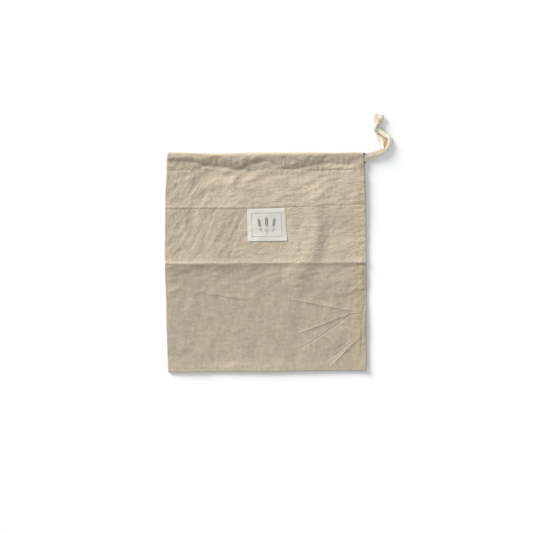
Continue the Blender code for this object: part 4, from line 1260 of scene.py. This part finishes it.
def on_sheet(x, y, above):
    """A point over the finished cloth near a place on its front."""
    distance = (FRONT_POINTS[:, 0] - x) ** 2 + (FRONT_POINTS[:, 1] - y) ** 2
    nearest = np.argpartition(np.where(FRONT_POINTS[:, 2] > 2.0, distance, np.inf), 4)[:4]
    share = 1.0 / (distance[nearest] + 0.01)
    return x, y, float((FRONT_POINTS[nearest, 2] * share).sum() / share.sum()) + above


def line_of_stitches(line, face, start, end, seed):
    """Stitches along one of the bag's lines, on the front if the face is 1 and on the back if it is -1."""
    random = np.random.default_rng(seed)

    def stray(count=None):
        return random.uniform(-STITCH_STRAY, STITCH_STRAY, count)

    count = int((end - start) / STITCH_PITCH)
    starts = start + STITCH_PITCH * np.arange(count) + stray(count)
    ends = starts + STITCH_PITCH - STITCH_GAP + stray(count)
    runs = []
    for pair in zip(starts, ends):
        places = [(x, from_table(STITCH_LINES, line, x) + stray()) for x in pair]
        if face > 0:
            places = [on_sheet(x, y, STITCH_LIFT) for x, y in places]
        else:
            places = [(x, y, BACK_STITCH_Z) for x, y in places]
        runs.append((*places, (0, 0, face), THREAD_RADIUS))
    return runs


def tack_run(tack):
    angle = math.radians(tack.angle)
    half_x, half_y = 0.5 * tack.length * math.cos(angle), 0.5 * tack.length * math.sin(angle)
    start, end = (on_sheet(tack.x + side * half_x, tack.y + side * half_y, TACK_LIFT) for side in (-1.0, 1.0))
    return start, end, TACK_UP, tack.radius


HEM_THREADS = table(
    "line face start end seed",
    ("hem", 1, -148.5, 147.5, 61), ("casing", 1, -146.5, 145, 62),
    ("hem", -1, -146, 145, 63), ("casing", -1, -144, 143, 64),
)
hem_runs = [run for row in HEM_THREADS for run in line_of_stitches(*row)]
hem_stitches = add_mesh("hem_stitches", *stitch_mesh(hem_runs), LINEN_THREAD)
tacks = add_mesh("seam_tacks", *stitch_mesh([tack_run(tack) for tack in TACKS]), DARK_THREAD)

# ---------------------------------------------------------------- the label

LABEL_CELLS = (170, 144)
LABEL_GAP = 0.38
LABEL_THICK = 0.32
LABEL_LIFT = 0.42  # more than the gap, at its loose lower edge
LABEL_FRAY = 0.22
LABEL_WIDE = 57.0
LABEL_HIGH = 49.0
LABEL_TOP = ((-28.1, 79.9), (29.1, 81.1))
LABEL_BOTTOM = ((-27.1, 31.2), (31.9, 32.2))
LABEL_SMOOTHED = 60  # times, as it is stiffer than the linen and spans the smaller wrinkles
PRINT_WIDE = 57.4
PRINT_HIGH = 49.2
FRAME_HALF = (22.0, 17.5)
GRAINS = 6
# The wheat ears: middle, lean and size.
EARS = table("middle lean size", (-8.5, -0.16, 0.86), (0, 0, 1), (8.5, 0.16, 0.86))


def ink_at(right, up):
    """Three wheat ears in a plain frame, where right and up are millimetres from the label's middle."""

    def line(distance, half_width):
        return clamp01((half_width - distance) / 0.25 + 0.5)

    def spot(x, y, wide, high, soft=0.45):
        return clamp01((1.0 - (x / wide) ** 2 - (y / high) ** 2) / soft)

    frame_edge = np.abs(np.maximum(np.abs(right) - FRAME_HALF[0], np.abs(up) - FRAME_HALF[1]))
    inks = [line(frame_edge, 0.26)]
    for ear in EARS:
        x = (right - ear.middle - ear.lean * (up + 12.0)) / ear.size
        y = (up + 1.0) / ear.size
        inks.append(line(np.abs(x), 0.22) * ramps(y, (-12.5, -12.25), (11.0, 10.75)))
        inks.append(spot(x, y - 12.2, 0.7, 1.7))
        for hand in (-1.0, 1.0):
            for grain in range(GRAINS):
                off_x, off_y = hand * x - 1.35, y - 2.0 * grain + 0.1
                inks.append(spot(off_x * 0.82 - off_y * 0.57, off_x * 0.57 + off_y * 0.82, 0.72, 1.75))
            inks.append(0.85 * spot(hand * x - 1.6 - 0.25 * (y + 8.0), y + 7.5, 0.55, 3.2, 0.5))
    return np.max(inks, axis=0)


def label_mesh():
    """The label's points and faces, and how inked and how worn its upper and its under side are."""
    columns, rows = (cells + 1 for cells in LABEL_CELLS)
    right, up = np.meshgrid(np.linspace(0.0, 1.0, columns), np.linspace(0.0, 1.0, rows))
    bottom = [left * (1.0 - right) + far * right for left, far in zip(*LABEL_BOTTOM)]
    top = [left * (1.0 - right) + far * right for left, far in zip(*LABEL_TOP)]
    x, y = (low * (1.0 - up) + high * up for low, high in zip(bottom, top))
    # its cut sides and lower edge are a little uneven
    rough = np.abs(noise(up * 40.0, right * 40.0, 71)) * LABEL_FRAY
    x = x + ((right == 0.0) * 1.0 - (right == 1.0)) * rough
    y = y + (up == 0.0) * rough
    ground = front_height(x, y)
    smooth = ground
    for _ in range(LABEL_SMOOTHED):
        padded = np.pad(smooth, 1, mode="edge")
        smooth = 0.25 * (padded[:-2, 1:-1] + padded[2:, 1:-1] + padded[1:-1, :-2] + padded[1:-1, 2:])
    lift = LABEL_GAP + LABEL_LIFT * (1.0 - ease(3.5 * up)) * (0.55 + 0.45 * right)
    # its rim lies down on the linen, but for the loose lower edge
    inside = np.minimum(np.minimum(right, 1.0 - right) * LABEL_WIDE, (1.0 - up) * LABEL_HIGH)
    rim = np.exp(-inside / 1.1) * ease(4.0 * up)
    z = np.maximum(smooth, ground - 0.25) + lift + 0.06 * noise(x / 9.0, y / 9.0, 72)
    z -= (0.08 + 0.18 * right) * rim
    thick = LABEL_THICK * (1.0 - 0.5 * right * rim)
    points = np.concatenate([np.stack([x, y, face], axis=-1).reshape(-1, 3) for face in (z + thick, z)])

    numbers = np.arange(rows * columns).reshape(rows, columns)
    corners = (numbers[:-1, :-1], numbers[:-1, 1:], numbers[1:, 1:], numbers[1:, :-1])
    upper = np.stack([corner.ravel() for corner in corners], axis=1)
    loop = np.concatenate([numbers[0], numbers[1:, -1], numbers[-1, -2::-1], numbers[-2:0:-1, 0]])
    beside = np.roll(loop, -1)
    under = rows * columns
    edge = np.stack([loop, loop + under, beside + under, beside], axis=1)
    faces = np.concatenate([upper, under + upper[:, ::-1], edge]).tolist()

    ink = ink_at((right - 0.5) * PRINT_WIDE, (up - 0.5) * PRINT_HIGH)
    border = np.minimum(np.minimum(right, 1.0 - right) * PRINT_WIDE, np.minimum(up, 1.0 - up) * PRINT_HIGH)
    return points, faces, {"ink": [ink, 0.0 * ink], "worn": [np.exp(-border / 0.7)] * 2}


label_points, label_faces, label_values = label_mesh()
label = add_mesh("label_cloth", label_points, label_faces, LABEL)
add_values(label, **label_values)

# ---------------------------------------------------------------- rides, and hiding the solids they replace

PIECES = (
    (tape_front, "tape", "tape_front"),
    (tape_back, "tape", "tape_back"),
    (knot, "tape", "tape_knot"),
    (linen, "linen", "bag_body"),
    (hem_stitches, "linen", None),
    (tacks, "linen", None),
    (label, "label", "label"),
    (ribbon, "tape", "tape_in_hem"),
)
for piece, slot, node in PIECES:
    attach(piece, "root")
    if node:
        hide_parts(node)

# ---------------------------------------------------------------- floor and light

FLOOR_HALF = 4.0
FLOOR_COLOUR = (0.93, 0.93, 0.93, 1.0)
KEY_FROM = (-0.66, 0.64, 0.335)
KEY_STRENGTH = 4.58
KEY_ANGLE = 26.0
FILL_COLOUR = (0.97, 0.985, 1.0, 1.0)
FILL_STRENGTH = 0.62


def add_floor():
    """A pale, quite matt floor."""
    tree = Tree("pale_floor")
    for name, value in (("Base Color", FLOOR_COLOUR), ("Roughness", 0.9), ("Specular IOR Level", 0.0)):
        tree.shader.inputs[name].default_value = value
    mesh = bpy.data.meshes.new("floor")
    corners = [(x * FLOOR_HALF, y * FLOOR_HALF, 0.0) for x, y in ((-1, -1), (1, -1), (1, 1), (-1, 1))]
    mesh.from_pydata(corners, [], [(0, 1, 2, 3)])
    mesh.materials.append(tree.material)
    return add_object("floor", mesh)


def add_lights():
    """A wide soft light from the upper left, and a dim one from all round."""
    data = bpy.data.lights.new("key", "SUN")
    data.energy = KEY_STRENGTH
    data.angle = math.radians(KEY_ANGLE)
    key = add_object("key", data)
    key.rotation_mode = "QUATERNION"
    key.rotation_quaternion = Vector(KEY_FROM).to_track_quat("Z", "Y")
    world = bpy.data.worlds.new("studio")
    world.use_nodes = True
    background = world.node_tree.nodes["Background"]
    background.inputs["Color"].default_value = FILL_COLOUR
    background.inputs["Strength"].default_value = FILL_STRENGTH
    bpy.context.scene.world = world
    bpy.context.scene.view_settings.view_transform = "Standard"
    bpy.context.scene.view_settings.look = "None"


floor = add_floor()
add_lights()
